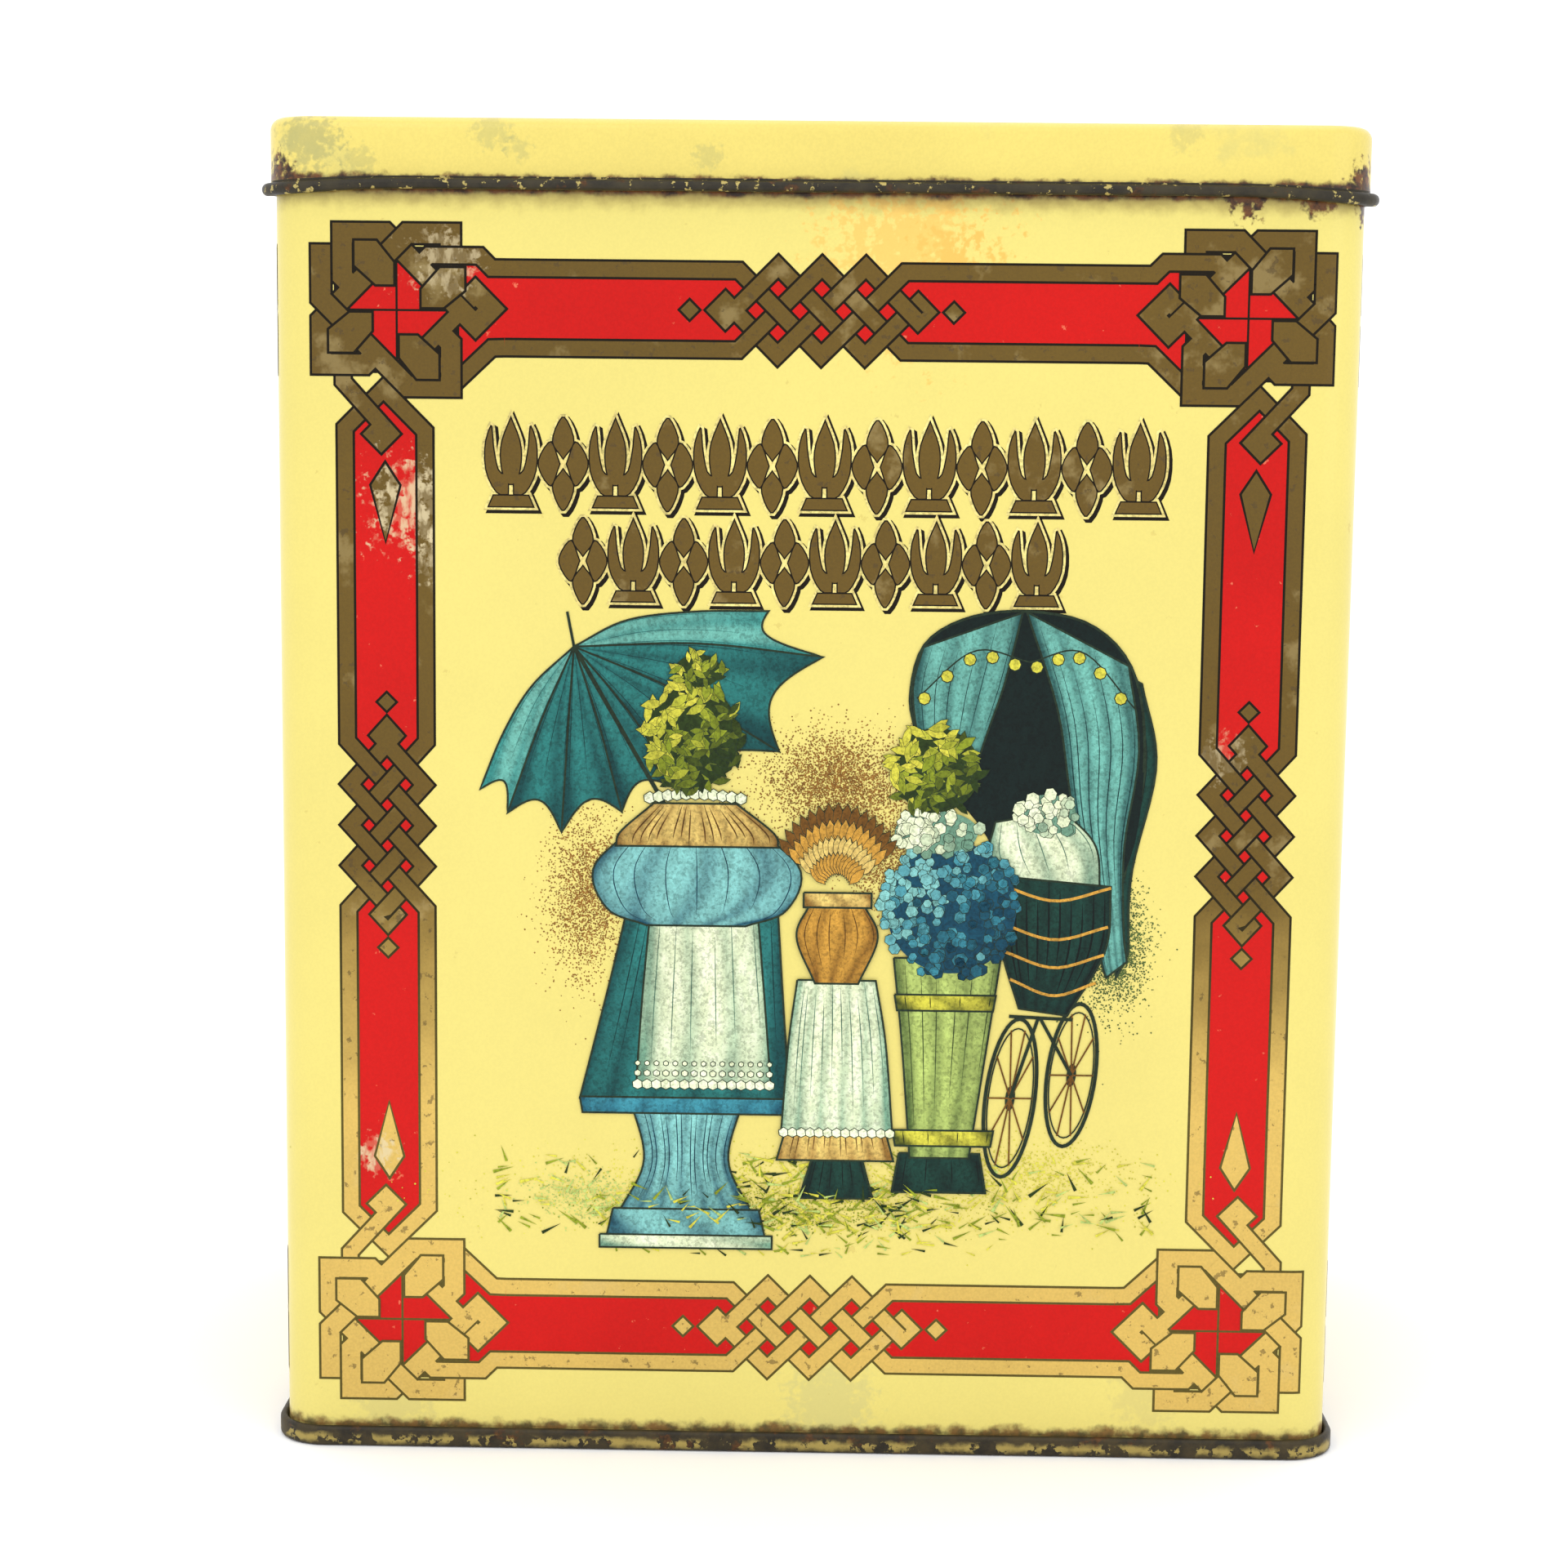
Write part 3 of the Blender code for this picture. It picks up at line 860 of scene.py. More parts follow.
def printed_piece(name, sizes, drawings):
    """One piece that holds the artwork of several walls, wrapped round the plan.

    The shapes are first laid out flat by the distance round the plan, their height and their level,
    and cut along every upright line where the wall bends. Each point then goes to the plan's base
    plus the corner radius and its level along the outward direction."""
    points, colours, faces, inks = [], [], [], []
    count = 0
    for wall, art in drawings.items():
        flat = np.concatenate(art.points)
        along = wall_middle(sizes, wall) + flat[:, :1]
        lift = INK_STEP * (np.concatenate(art.levels)[:, None] + 1)
        points.append(np.concatenate([along, lift, flat[:, 1:]], axis=1))
        colours.append(np.concatenate(art.colours))
        faces += [[k + count for k in face] for face in art.faces]
        inks += art.inks
        count += len(flat)
    piece = new_piece(name, np.concatenate(points).tolist(), faces, named(*PRINT_FINISHES), inks, smooth=False)
    mesh = piece.data
    shades = np.concatenate([np.concatenate(colours), np.ones((count, 1))], axis=1)
    ink = mesh.attributes.new("ink", "FLOAT_COLOR", "POINT")
    ink.data.foreach_set("color", shades.astype(np.float32).ravel())
    cut_at_bends(mesh, sizes)
    laid = np.empty(3 * len(mesh.vertices))
    mesh.vertices.foreach_get("co", laid)
    along, lift, high = laid.reshape(-1, 3).T
    base, out = round_the_walls(sizes, along)
    wrapped = np.concatenate([base + (sizes.corner + lift[:, None]) * out, high[:, None]], axis=1)
    mesh.vertices.foreach_set("co", wrapped.ravel())
    mesh.update()
    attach(piece, "tin")


def cut_at_bends(mesh, sizes):
    """Cuts a mesh laid out flat along the upright lines at which the shells' corner arcs have their
    stations."""
    edges = np.concatenate([[0.0], np.cumsum(wall_runs(sizes))])
    arcs = [np.linspace(edges[k], edges[k + 1], ARC_STEPS + 1) for k in (1, 3, 5, 7)]
    cuts = np.concatenate([arcs[3] - edges[-1], *arcs])
    form = bmesh.new()
    form.from_mesh(mesh)
    reach = [v.co.x for v in form.verts]
    for at in cuts[(cuts > min(reach)) & (cuts < max(reach))]:
        parts = form.verts[:] + form.edges[:] + form.faces[:]
        bmesh.ops.bisect_plane(form, geom=parts, dist=1e-7, plane_co=(at, 0, 0), plane_no=(1, 0, 0))
    form.to_mesh(mesh)
    form.free()


# ---------------------------------------------------------------- woven border


def run_lengths(path):
    """Distance along a path to each of its points."""
    return np.concatenate([[0.0], np.cumsum(np.linalg.norm(np.diff(path, axis=0), axis=1))])


def cut(path, start, end):
    """The part of a path between two distances along it."""
    runs = run_lengths(path)
    start, end = max(start, 0.0), min(end, runs[-1])
    inside = path[(runs > start + 1e-7) & (runs < end - 1e-7)]
    ends = [[np.interp(at, runs, path[:, k]) for k in (0, 1)] for at in (start, end)]
    return np.array([ends[0], *inside, ends[1]])


def crossings(strands):
    """Where two strands' centre lines cross: [(strand, distance along it), (strand, distance)], and
    the sine."""
    found = []
    sides = [(k, i) for k, path in enumerate(strands) for i in range(len(path) - 1)]
    runs = [run_lengths(path) for path in strands]
    for number, (k, i) in enumerate(sides):
        for m, j in sides[number + 1:]:
            if k == m and abs(i - j) < 2:
                continue
            one, other = strands[k][i], strands[m][j]
            along, across = strands[k][i + 1] - one, strands[m][j + 1] - other
            turn = along[0] * across[1] - along[1] * across[0]
            if abs(turn) < 1e-12:
                continue
            gap = other - one
            share = (gap[0] * across[1] - gap[1] * across[0]) / turn
            other_share = (gap[0] * along[1] - gap[1] * along[0]) / turn
            if 0 < share < 1 and 0 < other_share < 1:
                steps = np.linalg.norm(along), np.linalg.norm(across)
                passes = [(k, runs[k][i] + share * steps[0]), (m, runs[m][j] + other_share * steps[1])]
                found.append((passes, abs(turn) / (steps[0] * steps[1])))
    return found


def woven(strands, first_over):
    """For each crossing the pass that goes over, 0 or 1: passes alternate along every strand from
    the first."""
    found = crossings(strands)
    order = {}
    for number, (passes, _) in enumerate(found):
        for side, (strand, at) in enumerate(passes):
            order.setdefault(strand, []).append((at, number, side))
    beside = {}
    for stops in order.values():
        stops.sort()
        for (_, a, side_a), (_, b, side_b) in zip(stops, stops[1:]):
            beside.setdefault(a, []).append((side_a, b, side_b))
            beside.setdefault(b, []).append((side_b, a, side_a))
    near = [np.linalg.norm(point_at(strands, passes[0]) - first_over[1]) for passes, _ in found]
    seed = int(np.argmin(near))
    over = {seed: 0 if found[seed][0][0][0] == first_over[0] else 1}
    queue = [seed]
    for number in queue:
        for side, other, other_side in beside.get(number, []):
            if other not in over:
                goes_over = over[number] != side
                over[other] = other_side if goes_over else 1 - other_side
                queue.append(other)
    return [(passes, sine, over.get(number, 0)) for number, (passes, sine) in enumerate(found)]


def point_at(strands, place):
    """The point of a strand at a distance along it."""
    strand, at = place
    runs = run_lengths(strands[strand])
    return np.array([np.interp(at, runs, strands[strand][:, k]) for k in (0, 1)])


def weave(art, strands, golds, line, first_over, place, level=1):
    """Draws woven bands: every band once, then for each crossing a short piece of the band that
    goes over.

    That piece is as long as the band below is wide, seen along the band above."""
    strands = [np.asarray(path, float) for path in strands]
    for path, gold in zip(strands, golds):
        art.ruled(place(path), gold, line, level)
    for passes, sine, top in woven(strands, first_over):
        strand, at = passes[top]
        below = golds[passes[1 - top][0]] + 2 * line
        reach = (below / 2 + math.sqrt(1 - min(sine, 1) ** 2) * (golds[strand] / 2 + line)) / sine
        slack = reach + 0.04 * MM
        over, gold = cut(strands[strand], at - reach, at + reach), golds[strand]
        art.band(place(over), gold + 2 * line, level + 2, OUTLINE)
        art.band(place(cut(strands[strand], at - slack, at + slack)), gold, level + 3, GOLD)


def placing(middle, right=(1, 0), up=(0, 1)):
    """A function that turns or mirrors a figure and moves it to its middle."""
    turn = np.array([right, up], float)
    return lambda points: np.asarray(points, float) @ turn + np.asarray(middle, float)


def corner_knot(art, border, place):
    """The upper left corner knot, with the stubs of the two bars that leave it to the right and
    downwards.

    Its bands run on the lines of a lattice at right angles and at 45 degrees to it."""
    unit, wide, thin, line = border.unit, border.knot_band, border.bar_band, border.outline
    reach = border.bar_reach / unit
    bands = [
        (wide, [(-0.45, 1.6), (-1.35, 2.5), (-3.5, 2.5), (-3.5, 0.5),
                (0.5, -3.5), (2.5, -3.5), (2.5, -1.5), (2, -1)]),
        (wide, [(1.6, 0.45), (2.5, 1.35), (2.5, 3.5), (0.5, 3.5),
                (-3.5, -0.5), (-3.5, -2.5), (-1.5, -2.5), (-1, -2)]),
        (wide, [(-2, 1), (-2.5, 1.5), (-2.5, 3.5), (-0.5, 3.5), (3.65, -0.65), (4.4, 0.1), (3.65, 0.85),
                (3.28, 0.48)]),
        (thin, [(0.45, -1.6), (1.35, -2.5), (2.1, -2.5)]),
        (thin, [(1, 2), (1.5, 2.5), (3.85, 2.5), (4.4, reach + 0.14), (5, reach + 0.14)]),
        (thin, [(-1.6, -0.45), (-2.5, -1.35), (-2.5, -3.3), (-0.35, -5.67),
                (-0.75, -6.07), (-1.12, -5.7), (-0.85, -5.43)]),
        (thin, [(-2.43, -6.2), (-2.43, -5.43), (2.9, -0.1)]),
        (thin, [(-0.6, -3.67), (1.28, -5.55), (1.28, -6.2)]),
    ]
    strands = [np.array(path) * unit for _, path in bands]
    art.polygon(place(np.array([(2.9, 2.9), (2.9, -2.9), (-2.9, -2.9), (-2.9, 2.9)]) * unit), 0, OUTLINE)
    art.polygon(place(np.array([(0, 3), (3, 0), (0, -3), (-3, 0)]) * unit), 0.5, RED)
    for path in ([(0, 3), (0, -3)], [(3, 0), (-3, 0)]):
        art.band(place(np.array(path) * unit), line * 0.9, 1, OUTLINE)
    bar_start = np.array([(2.7, -3.3), (4.4, 0.14 - reach - 0.02), (5, 0.14 - reach)]) * unit
    art.ruled(place(bar_start), thin, line, 1)
    weave(art, strands, [gold for gold, _ in bands], line, (2, np.array([-2.5, 2.5]) * unit), place, 3)
    petal = [(-1.98, 3.19), (-0.9, 3.19), (-0.09, 2.19), (-0.09, 1.11), (-0.98, 1.11), (-1.98, 2.0)]
    for quarter in range(4):
        cos, sin = math.cos(quarter * math.pi / 2), math.sin(quarter * math.pi / 2)
        turned = petal @ np.array([(cos, sin), (-sin, cos)])
        art.lined(place(inset(turned * unit, -line / 2)), line, 7)


def braid(art, border, place, pitch, across, reach):
    """A braid of four bands between the two ends of a bar, with a lozenge beyond each of its
    hooks."""
    thin, line = border.bar_band, border.outline
    spread = np.array([pitch, across])
    end = reach / across
    stub = 0.5
    strands = [
        [(-end - 1 - stub, end), (-end - 1, end), (0, -1), (end + 1, end), (end + 1 + stub, end)],
        [(-end - 1 - stub, -end), (-end - 1, -end), (0, 1), (end + 1, -end), (end + 1 + stub, -end)],
        [(-2, 0), (-1, 1), (1, -1), (2.05, 0.05)],
        [(-2.05, -0.05), (-2.2, -0.2), (-2.4, 0), (-2.2, 0.2), (-1, -1),
         (1, 1), (2.2, -0.2), (2.4, 0), (2.2, 0.2), (2.05, 0.05)],
    ]
    strands = [np.array(path) * spread for path in strands]
    first = (2, np.array([-1.5, 0.5]) * spread)
    weave(art, strands, [thin] * 4, line, first, place)
    diamond = np.array([(-1, 0), (0, 1), (1, 0), (0, -1)]) * 0.29 * pitch
    for side in (-1, 1):
        art.lined(place(diamond + [side * 3.02 * pitch, 0]), line, 1)


def braided_bar(art, border, place, half_run, pitch, across, reach):
    """A red bar between two knots, with its gold bands and the braid in its middle.

    The red's edge follows the bands' centre lines, and zigzags with the braid."""
    end = reach / across
    bend = (end + 1) * pitch
    tips = [(-1.5, 0.5), (-1, 1), (-0.5, 0.5), (0, 1), (0.5, 0.5), (1, 1), (1.5, 0.5)]
    tips = np.multiply(tips, [pitch, across])
    upper = np.array([(-half_run, reach), (-bend, reach), *tips, (bend, reach), (half_run, reach)])
    art.polygon(place(np.concatenate([upper, (upper * [1, -1])[::-1]])), 0, RED)
    braid(art, border, place, pitch, across, reach)
    for side in (-1, 1):
        for high in (-1, 1):
            run = [(side * half_run, high * reach), (side * (bend + 0.5 * pitch), high * reach)]
            art.ruled(place(run), border.bar_band, border.outline, 1)


def border_on_wall(border, half_wall):
    """The border of one wall: a knot at each corner, and a braided bar along each side."""
    art = Artwork()
    unit, line = border.unit, border.outline
    knot_u = half_wall - border.knot_inset
    middle = (border.top + border.foot) / 2
    rise = (border.top - border.foot) / 2
    for side in (-1, 1):
        for high in (-1, 1):
            knot = placing((border.shift + side * knot_u, middle + high * rise), (-side, 0), (0, high))
            corner_knot(art, border, knot)
            root = [(2.6, 2.5), (3.85, 2.5), (5, 1.95), (5, -1.7), (4.4, -1.7), (2.6, -3.2)]
            throat = [(-2.43, -6.2), (-2.43, -5.43), (-0.5, -3.5), (1.28, -5.4), (1.28, -6.2)]
            for outline in (root, throat):
                art.polygon(knot(np.multiply(outline, unit)), 0, RED)
            kite = np.array([(0, -2.2), (2.4, -5.9), (0, -14.6), (-2.4, -5.9)]) * MM
            art.lined(knot(kite + [-0.575 * unit, -6.15 * unit]), line, 1)
    for high in (-1, 1):
        level_bar = placing((border.shift, middle + high * (rise + 0.14 * unit)))
        run, pitch = knot_u - 5 * unit, border.flat_pitch
        braided_bar(art, border, level_bar, run, pitch, pitch, border.bar_reach)
    upright_reach = 1.855 * unit
    for side in (-1, 1):
        upright = placing((border.shift + side * (knot_u + 0.575 * unit), middle), (0, -1), (1, 0))
        run = rise - 6.2 * unit
        pitch, across = border.upright_pitch, border.upright_across
        braided_bar(art, border, upright, run, pitch, across, upright_reach)
    return art


# ---------------------------------------------------------------- drawing
# Places and sizes in this section's calls are in millimetres.

SHADOW = linear(30, 44, 30)
TEAL, PALE_TEAL, DEEP_TEAL = linear(38, 112, 108), linear(98, 160, 148), linear(8, 54, 56)
BLUE, PALE_BLUE, DEEP_BLUE = linear(54, 128, 144), linear(120, 180, 176), linear(12, 62, 82)
CLOTH, CLOTH_SHADE = linear(214, 222, 184), linear(96, 134, 112)
OCHRE, PALE_OCHRE, DEEP_OCHRE = linear(186, 138, 54), linear(208, 178, 100), linear(104, 68, 20)
LEAF, PALE_LEAF, DEEP_LEAF = linear(122, 134, 30), linear(190, 184, 62), linear(34, 50, 14)
OLIVE, DEEP_OLIVE = linear(162, 180, 98), linear(66, 86, 42)
FOREST, DEEP_FOREST = linear(16, 52, 44), linear(6, 22, 20)
HALO = linear(128, 88, 34)

LEAF_SHAPE = [(0, -1), (0.38, -0.3), (0.34, 0.35), (0, 1), (-0.34, 0.35), (-0.38, -0.3)]
PETAL_SHAPE = [(0, -0.7), (0.62, -0.4), (0.7, 0.3), (0, 0.75), (-0.7, 0.3), (-0.62, -0.4)]
DOT_SHAPE = [(0, -1), (1, 0), (0, 1), (-1, 0)]
BLADE_SHAPE = [(-0.16, -1), (0.16, -1), (0.02, 1)]

LEAF_TONES = (PALE_LEAF, LEAF, DEEP_LEAF)
GRASS_TONES = (PALE_LEAF, PALE_LEAF, LEAF, LEAF, OLIVE, DEEP_LEAF)
PATCH_STEPS = 21


def smooth(points, count):
    """Curve through points: between two of them a cubic that runs parallel at each end to its
    neighbours' chord."""
    points = np.asarray(points, float)
    padded = np.concatenate([[2 * points[0] - points[1]], points, [2 * points[-1] - points[-2]]])
    at = np.linspace(0, len(points) - 1, count)
    k = np.minimum(at.astype(int), len(points) - 2)
    t = (at - k)[:, None]
    a, b, c, d = padded[k], padded[k + 1], padded[k + 2], padded[k + 3]
    return b + t / 2 * ((c - a) + t * ((2 * a - 5 * b + 4 * c - d) + t * (3 * (b - c) + d - a)))


def rounded(outline, count=40):
    """Smooth closed outline through points."""
    return smooth([*outline, outline[0]], count)[:-1]


def ellipse(middle, across, high, count=36, lean=0.0):
    """Closed outline of an ellipse, its upright axis leaning to the right."""
    turn = np.linspace(0, 2 * math.pi, count, endpoint=False)
    up = high * np.sin(turn)
    return np.stack([middle[0] + across * np.cos(turn) + lean * up, middle[1] + up], -1)


def patch(art, left, right, light, dark, folds=3, tilt=0.0, strokes=0.16, sag=0.0):
    """Fills the space between a left and a right edge, both smooth, with a grid that runs light to
    dark.

    The dark share rises towards both edges with the fourth power, towards the foot with the cube of
    the distance along, and with a cosine over the folds across. Dark strokes of hatching follow the
    folds. A sag draws each row towards the patch's start, most in its middle and with the square of
    the distance along."""
    steps = PATCH_STEPS
    left, right = smooth(np.multiply(left, MM), steps), smooth(np.multiply(right, MM), steps)
    s, t = np.meshgrid(np.linspace(0, 1, steps), np.linspace(0, 1, steps))
    points = left[:, None] + (right - left)[:, None] * s[..., None]
    points = points + (left[0] - points) * (sag * 4 * s * (1 - s) * t ** 2)[..., None]
    fold = 0.5 + 0.5 * np.cos(2 * math.pi * folds * (s + tilt * t) + 1.4 * np.sin(3 * t + folds))
    share = np.clip(0.55 * np.abs(2 * s - 1) ** 4 + 0.3 * t ** 3 + 0.5 * fold ** 2, 0, 1)[..., None]
    light, dark = np.array(light), np.array(dark)
    shades = (light + (dark - light) * share).reshape(-1, 3)
    art.add(points, grid_faces(steps, steps, False, False), art.height(None), PAINT, shades)
    lines = int(folds * 2) if strokes else 0
    for k in range(lines):
        column = 2 + k * (steps - 4) // max(lines - 1, 1)
        start, end = k * 5 % 4, steps - 2 - k * 7 % 6
        width = strokes * MM * np.sin(np.linspace(0.15, math.pi - 0.15, end - start))
        art.band(points[start:end, column], width, None, PAINT, dark * 0.6)
    edge = np.concatenate([left, points[-1, 1:-1], right[::-1], left[:1]])
    art.band(edge, 0.3 * MM, None, PAINT, SHADOW)


def scatter(art, middles, figure, sizes, turns, colours, edge=0.0):
    """Many copies of a small figure, each with its own middle, size, turn and colour, and a dark
    edge if asked."""
    figure = np.asarray(figure, float)
    count = len(middles)
    sizes, turns = np.broadcast_to(sizes, count), np.broadcast_to(turns, count)
    cos, sin = np.cos(turns)[:, None], np.sin(turns)[:, None]
    base = art.height(None, 1.0)
    looks = [(edge, 0.0, SHADOW)] if edge else []
    for grown, later, shades in [*looks, (0.0, 0.5, colours)]:
        reach = (sizes + grown)[:, None]
        x, y = reach * figure[:, 0], reach * figure[:, 1]
        points = middles[:, None] + np.stack([x * cos - y * sin, x * sin + y * cos], -1)
        heights = np.repeat(base + 0.9 * (np.arange(count) + later) / count, len(figure))
        faces = np.arange(count * len(figure)).reshape(count, -1)
        shades = np.repeat(np.broadcast_to(shades, (count, 3)), len(figure), axis=0)
        art.add(points * MM, faces, heights, PAINT, shades)


def cloud(rng, middle, across, high, count):
    """Random points spread evenly over an ellipse: the distance out is the root of an even
    share."""
    turn, out = rng.uniform(0, 2 * math.pi, count), np.sqrt(rng.uniform(0, 1, count))
    return middle + np.stack([across * out * np.cos(turn), high * out * np.sin(turn)], -1)


def foliage(art, rng, middle, across, high, tones, count, size=1.5, figure=LEAF_SHAPE):
    """A mound of leaves or petals over a dark ground: lightest at the upper left, darkest at the
    lower right."""
    ground = rounded(ellipse(middle, 0.93 * across, 0.93 * high, 14))
    art.polygon(ground * MM, None, PAINT, tones[2])
    middles = cloud(rng, middle, across, high, count)
    away = (middles - middle) / (across, high)
    share = np.clip(0.5 + 0.45 * (away[:, 0] - away[:, 1]) + rng.normal(0, 0.2, count), 0, 1)[:, None]
    pale, mid, deep = np.array(tones)
    shades = np.where(share < 0.5, pale + (mid - pale) * share * 2, mid + (deep - mid) * (share * 2 - 1))
    sizes = rng.uniform(0.7, 1.15, count) * size
    scatter(art, middles, figure, sizes, rng.uniform(0, 2 * math.pi, count), shades, 0.13)


def stipple(art, rng, middle, across, high, count, colour):
    """A halo of fine dots spread about its middle as a bell."""
    middles = middle + rng.normal(0, 0.46, (count, 2)) * [across, high]
    scatter(art, middles, DOT_SHAPE, rng.uniform(0.4, 1, count) * 0.17, 0.0, colour)


def grass(art, rng, low, high, across, count, size=1.3):
    """Short leaning blades over a patch of ground, wider apart towards its ends."""
    u = np.clip(rng.normal(0, 0.5, count), -1, 1) * (across[1] - across[0]) / 2 + sum(across) / 2
    v = rng.uniform(low, high, count)
    shades = np.array(GRASS_TONES)[rng.integers(0, len(GRASS_TONES), count)]
    turns = rng.normal(-1.1, 0.45, count) * np.where(rng.uniform(0, 1, count) < 0.5, 1, -1)
    scatter(art, np.stack([u, v], -1), BLADE_SHAPE, rng.uniform(0.6, 1.4, count) * size, turns, shades)


def frill(art, left, right, high, count, size, arch=0.0):
    """A row of pale petals along an edge, arched a little where asked."""
    rise = arch * np.cos(np.linspace(-1.6, 1.6, count))
    row = np.stack([np.linspace(left, right, count), high + rise], -1)
    scatter(art, row, PETAL_SHAPE, size, 0.0, CLOTH, 0.2)


def wheel(art, middle, across, high, lean):
    """A spoked wheel seen at a slant."""
    for shrink, width in ((1.0, 0.55), (0.88, 0.22), (0.14, 0.4)):
        rim = ellipse(middle, across * shrink, high * shrink, 40, lean)
        art.stroke([*rim, *rim[:2]], width)
    for tip in ellipse(middle, across * 0.9, high * 0.9, 10, lean):
        art.stroke([middle, tip], 0.24, DEEP_OCHRE)


def parasol(art):
    """An open parasol tipped to the left: teal panels between ribs, pale above and deep inside, on
    a stick."""
    crown, tip = (-35.6, 120.5), (-11.0, 78.0)
    rim = [
        (-49.4, 99.3), (-45.4, 95.8), (-37.4, 93.0), (-28.5, 96.2),
        (-19.8, 99.6), (-5.4, 105.4), (0.9, 119.4), (-7.2, 126.0),
    ]
    ribs = [[crown, ((crown[0] + u) / 2, (crown[1] + v) / 2 + 1.2), (u, v)] for u, v in rim]
    ribs[0] = [crown, (-41.8, 114.6), (-46.0, 107.6), rim[0]]
    ribs[-1] = [crown, (-28.0, 124.4), (-18.0, 125.8), rim[-1]]
    for k in (5, 4, 3, 2, 6, 1, 0):
        light, dark = (PALE_TEAL, TEAL) if k in (0, 6) else (TEAL, DEEP_TEAL)
        patch(art, ribs[k], ribs[k + 1], light, dark, folds=1.5, strokes=0.1, sag=0.13)
    art.stroke([(-36.6, 125.6), crown], 0.4)
    art.stroke([crown, tip], 0.62)
    art.stroke(smooth([tip, (-10.2, 75.8), (-8.6, 75.2), (-7.8, 76.6)], 12), 0.55)


def garden_table(art, rng):
    """A plinth under a flared teal cloth with a lace runner, and on it a round blue pot of
    foliage."""
    blue, cloth, teal = (PALE_BLUE, DEEP_BLUE), (CLOTH, CLOTH_SHADE), (TEAL, DEEP_TEAL)
    patch(art, [(-27.4, 54), (-25.0, 44), (-28.6, 36)], [(-10.0, 54), (-12.4, 44), (-8.8, 36)], *blue, 6)
    patch(art, [(-29.6, 36.4), (-30.6, 32)], [(-7.8, 36.4), (-6.8, 32)], *blue, 2, strokes=0)
    patch(art, [(-31.6, 32.4), (-31.6, 30.4)], [(-5.8, 32.4), (-5.8, 30.4)], *cloth, 1, strokes=0)
    patch(art, [(-27.6, 82), (-30.4, 70), (-34.6, 53.2)], [(-5.4, 82), (-4.6, 70), (-3.4, 53.2)], *teal, 5)
    patch(art, [(-34.6, 53.4), (-34.2, 51.0)], [(-3.4, 53.4), (-3.8, 51.0)], BLUE, DEEP_BLUE, 6, strokes=0)
    patch(art, [(-24.2, 82), (-25.4, 68), (-26.2, 55.6)], [(-8.4, 82), (-7.2, 68), (-6.2, 55.6)], *cloth)
    for rise, size in ((0.0, 1.0), (1.7, 0.6), (3.2, 0.45)):
        frill(art, -26.0, -6.4, 55.4 + rise, 15, size)
    pot = [(-26.0, 94.5), (-32.6, 88), (-30.6, 81.8), (-24.8, 79.4)]
    patch(art, pot, [(-9.4, 94.5), (-2.2, 88), (-4.2, 81.8), (-10.2, 79.4)], *blue, 3.5, tilt=0.25)
    rim = [(-23.8, 97.6), (-28.6, 93.4), (-29.4, 91.2)]
    patch(art, rim, [(-11.6, 97.6), (-6.2, 93.4), (-5.4, 91.2)], PALE_OCHRE, DEEP_OCHRE, 7, strokes=0.22)
    frill(art, -24.4, -11.0, 98.4, 11, 1.15, 0.6)
    foliage(art, rng, (-18.2, 107.6), 7.2, 8.4, LEAF_TONES, 150)
    foliage(art, rng, (-17.4, 117.2), 3.6, 2.6, LEAF_TONES, 40, 1.1)


def wheat_fan(art):
    """A fan of ochre ears in a wide pot, on a stand under a pleated white cloth with an ochre
    hem."""
    ochre = (PALE_OCHRE, DEEP_OCHRE)
    patch(art, [(0.2, 45), (-1.8, 38.4)], [(7.4, 45), (9.2, 38.4)], FOREST, DEEP_FOREST)
    patch(art, [(-3.6, 50), (-5.2, 44.2)], [(10.6, 50), (12.2, 44.2)], *ochre, 6)
    cloth = [(9.2, 71.5), (10.8, 62), (12.0, 48.2)]
    patch(art, [(-2.4, 71.5), (-3.6, 62), (-4.6, 48.2)], cloth, CLOTH, CLOTH_SHADE, 5)
    frill(art, -4.2, 11.6, 48.4, 13, 0.95)
    pot = [(7.2, 83), (9.4, 78), (6.6, 71)]
    patch(art, [(-0.6, 83), (-2.6, 78), (0.2, 71)], pot, OCHRE, DEEP_OCHRE, tilt=0.3)
    patch(art, [(-1.6, 84.6), (-1.6, 82.4)], [(8.4, 84.6), (8.4, 82.4)], *ochre, 2, strokes=0)
    turns = np.linspace(-0.95, 0.95, 15)
    out = np.stack([np.sin(turns) * 0.78, np.cos(turns)], -1)
    for reach, size, tone in (
        (11.6, 1.9, DEEP_OCHRE), (9.4, 1.8, OCHRE), (7.0, 1.7, PALE_OCHRE), (4.6, 1.6, OCHRE)
    ):
        scatter(art, [3.3, 84.4] + reach * out, LEAF_SHAPE, size, -turns * 0.8, tone, 0.2)


